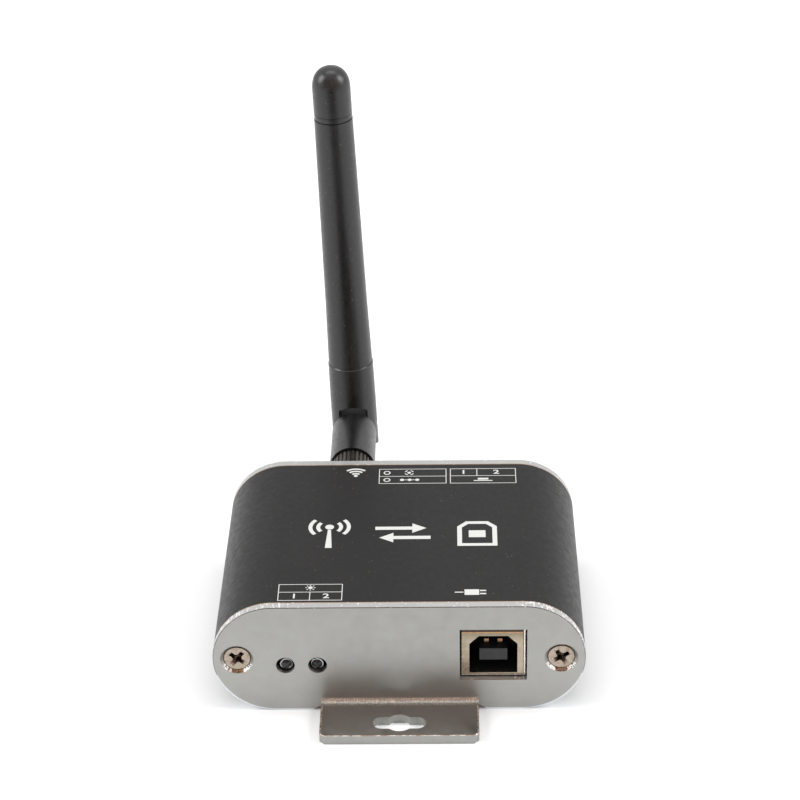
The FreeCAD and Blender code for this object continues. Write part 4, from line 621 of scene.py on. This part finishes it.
# Circuit board and what is soldered on it: glass laminate under green mask, tinned metal parts
# and black moulded chips. They are hidden in the closed housing and finished plainly.
board_green = surface("board_green", (0.012, 0.09, 0.035), 0.0, 0.38)
lifted(board_green, noise(board_green, 0.9, 2), 0.012)
gloss(board_green, noise(board_green, 2.0), 0.3, 0.45)
dress(board_green, "circuit_board", "radio_board")

tinned = surface("tinned_metal", (0.56, 0.56, 0.54), 1.0, 0.32)
lifted(tinned, noise(tinned, 0.4, 2), 0.004)
gloss(tinned, noise(tinned, 0.8, 3), 0.24, 0.42)
dress(tinned, "left_lamp_legs", "right_lamp_legs", "radio_shield", "bridge_chip_legs", "crystal_can",
      "capacitor_cans", "reset_switch_cover", "function_switch_cover", "reset_switch_dome",
      "function_switch_dome")

chip_black = surface("chip_black", (0.02, 0.02, 0.021), 0.0, 0.5)
lifted(chip_black, noise(chip_black, 0.12, 2), 0.006)
gloss(chip_black, noise(chip_black, 1.0), 0.42, 0.58)
dress(chip_black, "bridge_chip", "regulator_chip", "reset_switch_body", "function_switch_body")


# Data socket: a moulded block and tongue in a folded shell of tinned steel, its mouth square
# below with two cut corners above. Four gilt contacts lie in channels of the tongue.
socket_low, socket_high = spans("data_socket_shell")
SOCKET_MIDDLE = (socket_low.x + socket_high.x) / 2
SOCKET_FACE = socket_low.y
FACE_BAND = 0.6
SHADE_START = 14.6
SHADE_FULL = 16.2
WARM_LINE = 16.4
TOP_SHADOW_LINE = 16.62
RIGHT_FOLD = 22.95
RIGHT_HIGHLIGHT = 23.12
FOOT_HIGHLIGHT = 7.1
TONGUE_TOP = 12.88
TONGUE_LOW = 10.38
CONTACT_PITCH = 2.5
CONTACT_WIDTH = 0.86
NOSE_SIDE = ((2.0, 0.1), (2.05, 0.52), (2.2, 0.74), (2.45, 0.82), (2.8, 0.76), (3.6, 0.35), (3.6, 0.05))

socket_tin = surface("socket_tin", (0.41, 0.355, 0.275), 1.0, 0.3)
lifted(socket_tin, noise(socket_tin, 0.3, 2), 0.003)
gloss(socket_tin, noise(socket_tin, 0.9, 3), 0.2, 0.36)
tinted(socket_tin, spread(socket_tin, noise(socket_tin, 1.4, 3), 0.4, 0.7, 0, 0.5), (0.33, 0.27, 0.2))
dress(socket_tin, "data_socket_shell")

# The folded edges of its face: painted shade over the top, a painted shadow line above a warm line,
# a dark line and a painted highlight at the right, and a painted highlight along the foot
place_x, place_y, place_z = parts_of(socket_tin, "Object")
shade = spread(socket_tin, place_z, SHADE_START * MM, SHADE_FULL * MM, 0, 0.75)
tinted(socket_tin, shade, (0.22, 0.185, 0.13))
at_face = over(socket_tin, calc(socket_tin, "ABSOLUTE", place_y), -SOCKET_FACE - FACE_BAND)
for measure, limit, share, colour in ((place_z, WARM_LINE, 0.8, (0.50, 0.27, 0.12)),
                                      (place_z, TOP_SHADOW_LINE, 0.95, (0.05, 0.04, 0.04)),
                                      (place_x, RIGHT_FOLD, 0.9, (0.12, 0.08, 0.05)),
                                      (place_x, RIGHT_HIGHLIGHT, 0.9, (0.98, 0.96, 0.92))):
    tinted(socket_tin, times(socket_tin, at_face, over(socket_tin, measure, limit), share), colour)
foot_highlight = times(socket_tin, at_face, under(socket_tin, place_z, FOOT_HIGHLIGHT), 0.8)
tinted(socket_tin, foot_highlight, (0.95, 0.93, 0.88))

socket_black = surface("socket_black", (0.012, 0.012, 0.0125), 0.0, 0.42)
lifted(socket_black, noise(socket_black, 0.15, 2), 0.006)
gloss(socket_black, noise(socket_black, 0.8), 0.34, 0.5)
dress(socket_black, "data_socket_moulding")

gilt = surface("gilt_contact", (0.50, 0.37, 0.23), 1.0, 0.34)
lifted(gilt, noise(gilt, 0.3, 2), 0.003)
gloss(gilt, noise(gilt, 0.6, 3), 0.28, 0.42)
dress(gilt, "data_socket_contacts", "jack_contact_pin", "plug_contact_pin", "radiator_wire")


def nose(middle, level_at, upward):
    """A contact's nose: a steep front that fills its channel, and a long slope back down."""
    points = [(middle + side * CONTACT_WIDTH / 2, SOCKET_FACE + back, level_at + upward * rise)
              for side in (-1, 1) for back, rise in NOSE_SIDE]
    count = len(NOSE_SIDE)
    faces = [[k, (k + 1) % count, count + (k + 1) % count, count + k] for k in range(count)]
    faces += [list(range(count)), list(range(count, 2 * count))]
    return mesh_of("nose", points, faces)


for row, level_at, upward in (("upper", TONGUE_TOP, 1), ("lower", TONGUE_LOW, -1)):
    noses = [nose(SOCKET_MIDDLE + side * CONTACT_PITCH / 2, level_at, upward) for side in (-1, 1)]
    piece(row + "_contact_noses", joined(row + "_contact_noses", noses), gilt, "housing")


# Indicator lamps: clear epoxy domes cast round a small reflector cup and its post, set a
# little behind their holes in the front plate. The cups don't sit quite true in the resin.
lens_low, lens_high = spans("left_lamp_lens")
LAMP_TIP = lens_low.y
LAMP_LENGTH = lens_high.y - lens_low.y
LAMP_FLANGE = (lens_high.x - lens_low.x) / 2
LAMP_RADIUS = 1.5
FLANGE_THICK = 1.0
FLANGE_EDGE = 0.08
DOME_TURN = 7
CUP_PROFILE = [(0, 0.3), (0.45, 0.3), (0.45, 1.9), (0.8, 2.6), (1.12, 4.45), (1.11, 4.55), (1.06, 4.63),
               (0.97, 4.66), (0.88, 4.63), (0.82, 4.55), (0.5, 2.95), (0, 2.95)]
CUP_RIM = 0.85
CUP_OFFSETS = {"left": 0.2, "right": -0.15}
CUP_DROP = 0.2

resin = surface("clear_resin", (0.72, 0.76, 0.76), 0.0, 0.04, shine=0.15)
shader_inputs(resin)["Transmission Weight"].default_value = 1.0
shader_inputs(resin)["IOR"].default_value = 1.52
lifted(resin, noise(resin, 1.5), 0.01)
gloss(resin, noise(resin, 0.8), 0.03, 0.08)

cup_metal = surface("cup_metal", (0.97, 0.98, 1.0), 1.0, 0.2)
lifted(cup_metal, noise(cup_metal, 0.2), 0.003)
gloss(cup_metal, noise(cup_metal, 0.4), 0.12, 0.24)
# Only the cup's rim catches the light, and the metal behind it is painted dark as shade
shaded_behind_rim = over(cup_metal, parts_of(cup_metal, "Object")[1], LAMP_TIP + CUP_RIM)
tinted(cup_metal, shaded_behind_rim, (0.03, 0.035, 0.04))

lens_profile = [(0, 0), (LAMP_FLANGE, 0), (LAMP_FLANGE, FLANGE_THICK - FLANGE_EDGE),
                (LAMP_FLANGE - FLANGE_EDGE, FLANGE_THICK), (LAMP_RADIUS, FLANGE_THICK)]
for angle in [math.radians(turn) for turn in range(0, 90, DOME_TURN)]:
    lens_profile.append((LAMP_RADIUS * math.cos(angle), LAMP_LENGTH - LAMP_RADIUS * (1 - math.sin(angle))))
lens_profile.append((0, LAMP_LENGTH))
for side in ("left", "right"):
    low, high = spans(side + "_lamp_lens")
    foot_place = ((low.x + high.x) / 2, high.y, (low.z + high.z) / 2)
    stand = Matrix.Translation(foot_place) @ Matrix.Rotation(math.radians(90), 4, "X")
    lens = mesh_of(side + "_lens", *spun(lens_profile, 48))
    cup = mesh_of(side + "_lamp_cup", *spun(CUP_PROFILE, 32))
    lens.transform(stand)
    cup.transform(Matrix.Translation((CUP_OFFSETS[side], 0, -CUP_DROP)) @ stand)
    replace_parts(piece(side + "_lens", lens, resin, "housing"), side + "_lamp_lens")
    piece(side + "_lamp_cup", cup, cup_metal, "housing")


# Push keys: black moulded buttons that slide in their switches and stand out a little through
# the rear plate. Handling has left them a little greyer in spots.
key_black = surface("key_black", (0.016, 0.016, 0.017), 0.0, 0.4)
lifted(key_black, noise(key_black, 0.14, 2), 0.006)
gloss(key_black, noise(key_black, 0.9), 0.32, 0.48)
tinted(key_black, spread(key_black, noise(key_black, 0.6, 3), 0.62, 0.75, 0, 0.5), (0.05, 0.05, 0.05))
dress(key_black, "reset_button", "function_button")


# Coaxial jack: gilt brass, its barrel threaded between the hex nut and the antenna's coupling
# nut, with a toothed washer under the hex nut and a white insulator round its contact.
joints = {joint["name"]: joint for joint in frame["joints"]}
JACK_X, _, JACK_Z = [value / MM for value in joints["antenna_swivel"]["pos_m"]]
BARREL_RADIUS = 3.1
THREAD_GAP = 0.04
THREAD_START = spans("jack_nut")[1].y + THREAD_GAP
THREAD_END = spans("coupling_nut")[0].y - THREAD_GAP
THREAD_PITCH = 0.706
THREAD_MARGIN = 0.35 * THREAD_PITCH
THREAD_CREST = 0.075
THREAD_ROOT = -0.04
CREST_HALF = 0.06
ROOT_HALF = 0.3
TURN_STEPS = 40
FADE_STEPS = TURN_STEPS / 4

jack_gilt = surface("gilt_brass", (0.72, 0.53, 0.26), 1.0, 0.28)
lifted(jack_gilt, noise(jack_gilt, 0.25, 2), 0.004)
gloss(jack_gilt, noise(jack_gilt, 0.7, 3), 0.2, 0.36)
tinted(jack_gilt, spread(jack_gilt, noise(jack_gilt, 1.5, 3), 0.45, 0.75, 0, 0.5), (0.52, 0.34, 0.15))
dress(jack_gilt, "jack_body", "lock_washer", "jack_nut", "plug_core", "radiator_skirt")

insulator_white = surface("insulator_white", (0.82, 0.82, 0.79), 0.0, 0.5)
lifted(insulator_white, noise(insulator_white, 0.3, 2), 0.006)
gloss(insulator_white, noise(insulator_white, 0.8), 0.42, 0.58)
dress(insulator_white, "jack_insulator", "plug_insulator")

turn_count = int((THREAD_END - THREAD_START - 2 * THREAD_MARGIN) / THREAD_PITCH * TURN_STEPS)
points, faces = [], []
for k in range(turn_count + 1):
    angle = math.tau * k / TURN_STEPS
    crest = THREAD_CREST * min(1, k / FADE_STEPS, (turn_count - k) / FADE_STEPS)
    back = THREAD_START + THREAD_MARGIN + THREAD_PITCH * k / TURN_STEPS
    for offset, lift in ((-ROOT_HALF, THREAD_ROOT), (-CREST_HALF, crest), (CREST_HALF, crest),
                         (ROOT_HALF, THREAD_ROOT)):
        radius = BARREL_RADIUS + lift
        points.append((JACK_X + radius * math.cos(angle), back + offset, JACK_Z + radius * math.sin(angle)))
    if k:
        low = 4 * (k - 1)
        faces += [[low + n, low + (n + 1) % 4, low + 4 + (n + 1) % 4, low + 4 + n] for n in range(4)]
faces += [[0, 1, 2, 3], [4 * turn_count + n for n in range(4)]]
piece("jack_thread", mesh_of("jack_thread", points, faces), jack_gilt, "housing")


# Coupling nut: brass with a straight knurl, plated black, screwed on the jack. The plating is
# rubbed a little brown in patches.
nut_black = surface("black_plating", (0.07, 0.06, 0.052), 0.9, 0.34)
lifted(nut_black, noise(nut_black, 0.22, 3), 0.02)
gloss(nut_black, noise(nut_black, 0.5, 3), 0.26, 0.46)
tinted(nut_black, spread(nut_black, noise(nut_black, 0.5, 4), 0.52, 0.72, 0, 0.8), (0.19, 0.15, 0.12))
dress(nut_black, "coupling_nut")


# Antenna: base, hinge fork, tube and cap are moulded in black with a fine matt grain. The pin
# is pressed through the fork, and the lead inside has a brown jacket.
antenna_black = surface("antenna_black", (0.0025, 0.0024, 0.0025), 0.0, 0.4, shine=0.60)
lifted(antenna_black, noise(antenna_black, 0.24, 3), 0.022)
gloss(antenna_black, noise(antenna_black, 0.8, 3), 0.28, 0.40)
pale_grain = spread(antenna_black, noise(antenna_black, 0.32, 2), 0.5, 0.64, 0, 0.7)
tinted(antenna_black, pale_grain, (0.011, 0.0105, 0.0105))
dust = spread(antenna_black, noise(antenna_black, 0.4, 1), 0.72, 0.76, 0, 0.8)
tinted(antenna_black, dust, (0.09, 0.085, 0.08))
dress(antenna_black, "antenna_base", "hinge_pin", "antenna_fork", "antenna_tube")

# The cap is a full dome over a collar that two fine grooves set off from the tube. Its foot goes
# from the spigot in the tube over the collar to the dome, as radius and height over the tube
tube_low, tube_high = spans("antenna_tube")
tilt_axis = joints["antenna_tilt"]["axis"]
WHIP_ORIGIN = (JACK_X, (tube_low.y + tube_high.y) / 2, JACK_Z)
WHIP_LEAN = math.atan2(-tilt_axis[2], -tilt_axis[0])
TUBE_TOP = 71.0
DOME_START = 77.3
DOME_HEIGHT = 4.7
DOME_RADIUS = 3.86
DOME_FULLNESS = 2.35
DOME_STEPS = 24
CAP_FOOT = ((0, -4), (2.65, -4), (2.65, 0), (3.62, 0), (3.62, 0.14), (3.8, 0.17), (3.82, 1.1), (3.76, 1.14),
            (3.76, 1.26), (3.84, 1.34), (DOME_RADIUS, 1.5))
cap_profile = [(radius, TUBE_TOP + rise) for radius, rise in CAP_FOOT]
for k in range(DOME_STEPS):
    turn = math.radians(90 * k / DOME_STEPS)
    cap_profile.append((DOME_RADIUS * math.cos(turn) ** (2 / DOME_FULLNESS),
                        DOME_START + DOME_HEIGHT * math.sin(turn) ** (2 / DOME_FULLNESS)))
cap = mesh_of("cap_dome", *spun(cap_profile + [(0, DOME_START + DOME_HEIGHT)], 72))
cap.transform(Matrix.Translation(WHIP_ORIGIN) @ Matrix.Rotation(-WHIP_LEAN, 4, "Y"))
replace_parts(piece("cap_dome", cap, antenna_black, "antenna_whip"), "antenna_cap")

jacket = surface("lead_jacket", (0.35, 0.22, 0.12), 0.0, 0.45)
lifted(jacket, noise(jacket, 0.3, 2), 0.006)
gloss(jacket, noise(jacket, 0.8), 0.38, 0.52)
dress(jacket, "base_lead", "whip_lead")


# Print on the top: white ink from a screen, a legend over each opening and plain pictograms in
# the middle. The legends' frames are thin lines round plain numbers and signs.
TOP = spans("extruded_shell")[1].z
INK = 0.02
INK_BED = 0.005
LINE = 0.15
FIGURE_HEIGHT = 1.5
FIGURE_SHARE = 0.72
FIGURE_WIDTH = 1.25
FIGURE_WEIGHT = 0.03

ink = surface("screen_ink", (0.62, 0.62, 0.60), 0.0, 0.5)
lifted(ink, noise(ink, 0.12, 2), 0.006)
gloss(ink, noise(ink, 0.6), 0.42, 0.6)
tinted(ink, spread(ink, noise(ink, 0.25, 3), 0.6, 0.75, 0, 0.6), (0.45, 0.45, 0.44))


def printed(name, outlines, numbers=()):
    """Ink laid on the shell: filled outlines, an outline inside another being left open."""
    drawn = bpy.data.curves.new(name, "CURVE")
    drawn.dimensions = "2D"
    drawn.fill_mode = "BOTH"
    drawn.extrude = INK / 2
    for outline in outlines:
        line = drawn.splines.new("POLY")
        line.points.add(len(outline) - 1)
        for point, (x, y) in zip(line.points, outline):
            point.co = (x, y, 0, 1)
        line.use_cyclic_u = True
    inked = [worked(loose(name, drawn))]
    for text, x, y in numbers:
        figure = bpy.data.curves.new(name + "_figure", "FONT")
        figure.body = text
        figure.size = FIGURE_HEIGHT / FIGURE_SHARE
        figure.align_x = "CENTER"
        figure.align_y = "CENTER"
        figure.extrude = INK / 2
        figure.offset = FIGURE_WEIGHT
        figure.resolution_u = 4
        solid = worked(loose(name + "_figure", figure))
        solid.transform(Matrix.Translation((x, y, 0)) @ Matrix.Diagonal((FIGURE_WIDTH, 1, 1, 1)))
        inked.append(solid)
    mesh = joined(name, inked)
    mesh.transform(Matrix.Translation((0, 0, TOP + INK / 2 - INK_BED)))
    piece(name, mesh, ink, "housing")


def bar(left, low, right_side, high):
    """A filled rectangle."""
    return [(left, low), (right_side, low), (right_side, high), (left, high)]


def circle(x, y, radius, steps=28):
    """A filled disc."""
    return [(x + radius * math.cos(math.tau * k / steps), y + radius * math.sin(math.tau * k / steps))
            for k in range(steps)]


def arc(x, y, outer, inner, start, end, steps=14):
    """A band round a point, from one angle to another in degrees."""
    angles = [math.radians(start + (end - start) * k / steps) for k in range(steps + 1)]
    return ([(x + outer * math.cos(a), y + outer * math.sin(a)) for a in angles]
            + [(x + inner * math.cos(a), y + inner * math.sin(a)) for a in reversed(angles)])


def frame_lines(left, low, right_side, high, shelf, post=None, post_above=True):
    """A legend's frame: a box, a shelf across it, and a post above or below the shelf."""
    lines = [bar(left, low, right_side, high)]
    for over_shelf, y0, y1 in ((True, shelf + LINE / 2, high - LINE), (False, low + LINE, shelf - LINE / 2)):
        walls = [(left + LINE, right_side - LINE)]
        if post is not None and over_shelf == post_above:
            walls = [(left + LINE, post - LINE / 2), (post + LINE / 2, right_side - LINE)]
        lines += [bar(x0, y0, x1, y1) for x0, x1 in walls]
    return lines


# Lamp legend: a lit lamp above, the two lamps' numbers below. A ray's four corners are given as
# distance from the lamp and turn from the ray's own line
LIT_LAMP = (-16.27, -19.42)
RAY = ((0.62, -0.16), (0.95, -0.1), (0.95, 0.1), (0.62, 0.16))
LAMP_NUMBERS = (("1", -19.2, -22.2), ("2", -13.3, -22.2))
lamp_box = frame_lines(left=-22.2, low=-23.6, right_side=-10.3, high=-18.25, shelf=-20.85, post=-16.3,
                       post_above=False)
lamp_rays = []
for k in range(8):
    angle = math.tau * k / 8
    lamp_rays.append([(LIT_LAMP[0] + r * math.cos(angle + w), LIT_LAMP[1] + r * math.sin(angle + w))
                      for r, w in RAY])
printed("lamp_legend", lamp_box + [circle(*LIT_LAMP, 0.42)] + lamp_rays, LAMP_NUMBERS)

# Mode legend: two rings, with a hub beside one and a chain beside the other
RING_X = -2.8
HUB_X = 1.6
HUB_Y = 21.15
CHAIN_Y = 18.45
mode_box = frame_lines(left=-4.4, low=17.05, right_side=9.0, high=22.6, shelf=19.8)
hub = [circle(HUB_X, HUB_Y, 0.36)]
hub += [arc(HUB_X, HUB_Y, 0.95, 0.72, 20 + 90 * k, 70 + 90 * k, 6) for k in range(4)]
chain = [circle(x, CHAIN_Y, 0.42) for x in (0.2, 1.7, 3.2)]
chain += [bar(x + 0.45, CHAIN_Y - 0.09, x + 1.05, CHAIN_Y + 0.09) for x in (0.2, 1.7)]
mode_rings = [circle(RING_X, y, radius) for y in (HUB_Y, CHAIN_Y) for radius in (0.7, 0.46)]
printed("mode_legend", mode_box + hub + chain + mode_rings)

# Key legend: numbers of the two keys above a pressed button
KEY_NUMBERS = (("1", 12.4, 21.2), ("2", 18.9, 21.2))
key_box = frame_lines(left=9.7, low=17.0, right_side=22.8, high=22.6, shelf=19.85, post=15.05)
pressed_button = [bar(14.4, 17.85, 18.1, 18.15), bar(15.2, 18.35, 17.3, 19.0)]
printed("key_legend", key_box + pressed_button, KEY_NUMBERS)

# Radio mark over the jack: arcs that widen from a point
MARK_X = -9.03
printed("radio_mark", [circle(MARK_X, 20.1, 0.4)]
        + [arc(MARK_X, 19.85, r + 0.27, r - 0.2, 50, 130) for r in (1.05, 1.92, 2.78)])

# Plug mark over the socket: a plug's body with a stub of lead and its two prongs
PLUG_Y = -21.2
plug = [bar(12.2, PLUG_Y - 0.9, 14.9, PLUG_Y + 0.9), bar(10.4, PLUG_Y - 0.15, 12.0, PLUG_Y + 0.15)]
plug += [bar(15.05, PLUG_Y + offset - 0.2, 16.2, PLUG_Y + offset + 0.2) for offset in (-0.5, 0.5)]
printed("plug_mark", plug)

# Middle: a radio mast with its arcs, two arrows and the socket's outline round its tongue
MAST_X = -13.5
MAST_TIP = 1.3
MAST_FOOT = -6.0
ARROW_SHAFT = 0.55
ARROW_WING = 1.65
ARROW_HEAD = 2.7
SIGN_X = 14.8


def arrow(tail, tip, y):
    """An arrow that points from its tail to its tip, to the right or to the left."""
    neck = tip - math.copysign(ARROW_HEAD, tip - tail)
    half = [(tail, ARROW_SHAFT), (neck, ARROW_SHAFT), (neck, ARROW_WING)]
    return [(x, y + rise) for x, rise in half] + [(tip, y)] + [(x, y - rise) for x, rise in reversed(half)]


def socket_outline(half, low, shoulder, top_half, top):
    """The mouth of a square socket with two cut corners above."""
    sides = [(half, low), (half, shoulder), (top_half, top)]
    return [(SIGN_X - half, low)] + [(SIGN_X + x, y) for x, y in sides] + [
        (SIGN_X - x, y) for x, y in reversed(sides[1:])]


mast_top = MAST_TIP - 1.0
mast = [[(MAST_X - 0.65, MAST_FOOT), (MAST_X + 0.65, MAST_FOOT), (MAST_X + 0.3, mast_top),
         (MAST_X - 0.3, mast_top)], circle(MAST_X, MAST_TIP, 0.85)]
mast += [arc(MAST_X, MAST_TIP, r + 0.38, r - 0.38, a - 42, a + 42) for r in (2.2, 3.7) for a in (0, 180)]
arrows = [arrow(tail=-4.7, tip=5.1, y=0.75), arrow(tail=5.9, tip=-3.9, y=-2.55)]
socket_sign = [socket_outline(half=3.8, low=-5.6, shoulder=1.2, top_half=2.1, top=3.0),
               socket_outline(half=2.9, low=-4.7, shoulder=0.85, top_half=1.7, top=2.1),
               bar(SIGN_X - 1.6, -2.6, SIGN_X + 1.6, -0.2)]
printed("middle_pictogram", mast + arrows + socket_sign)
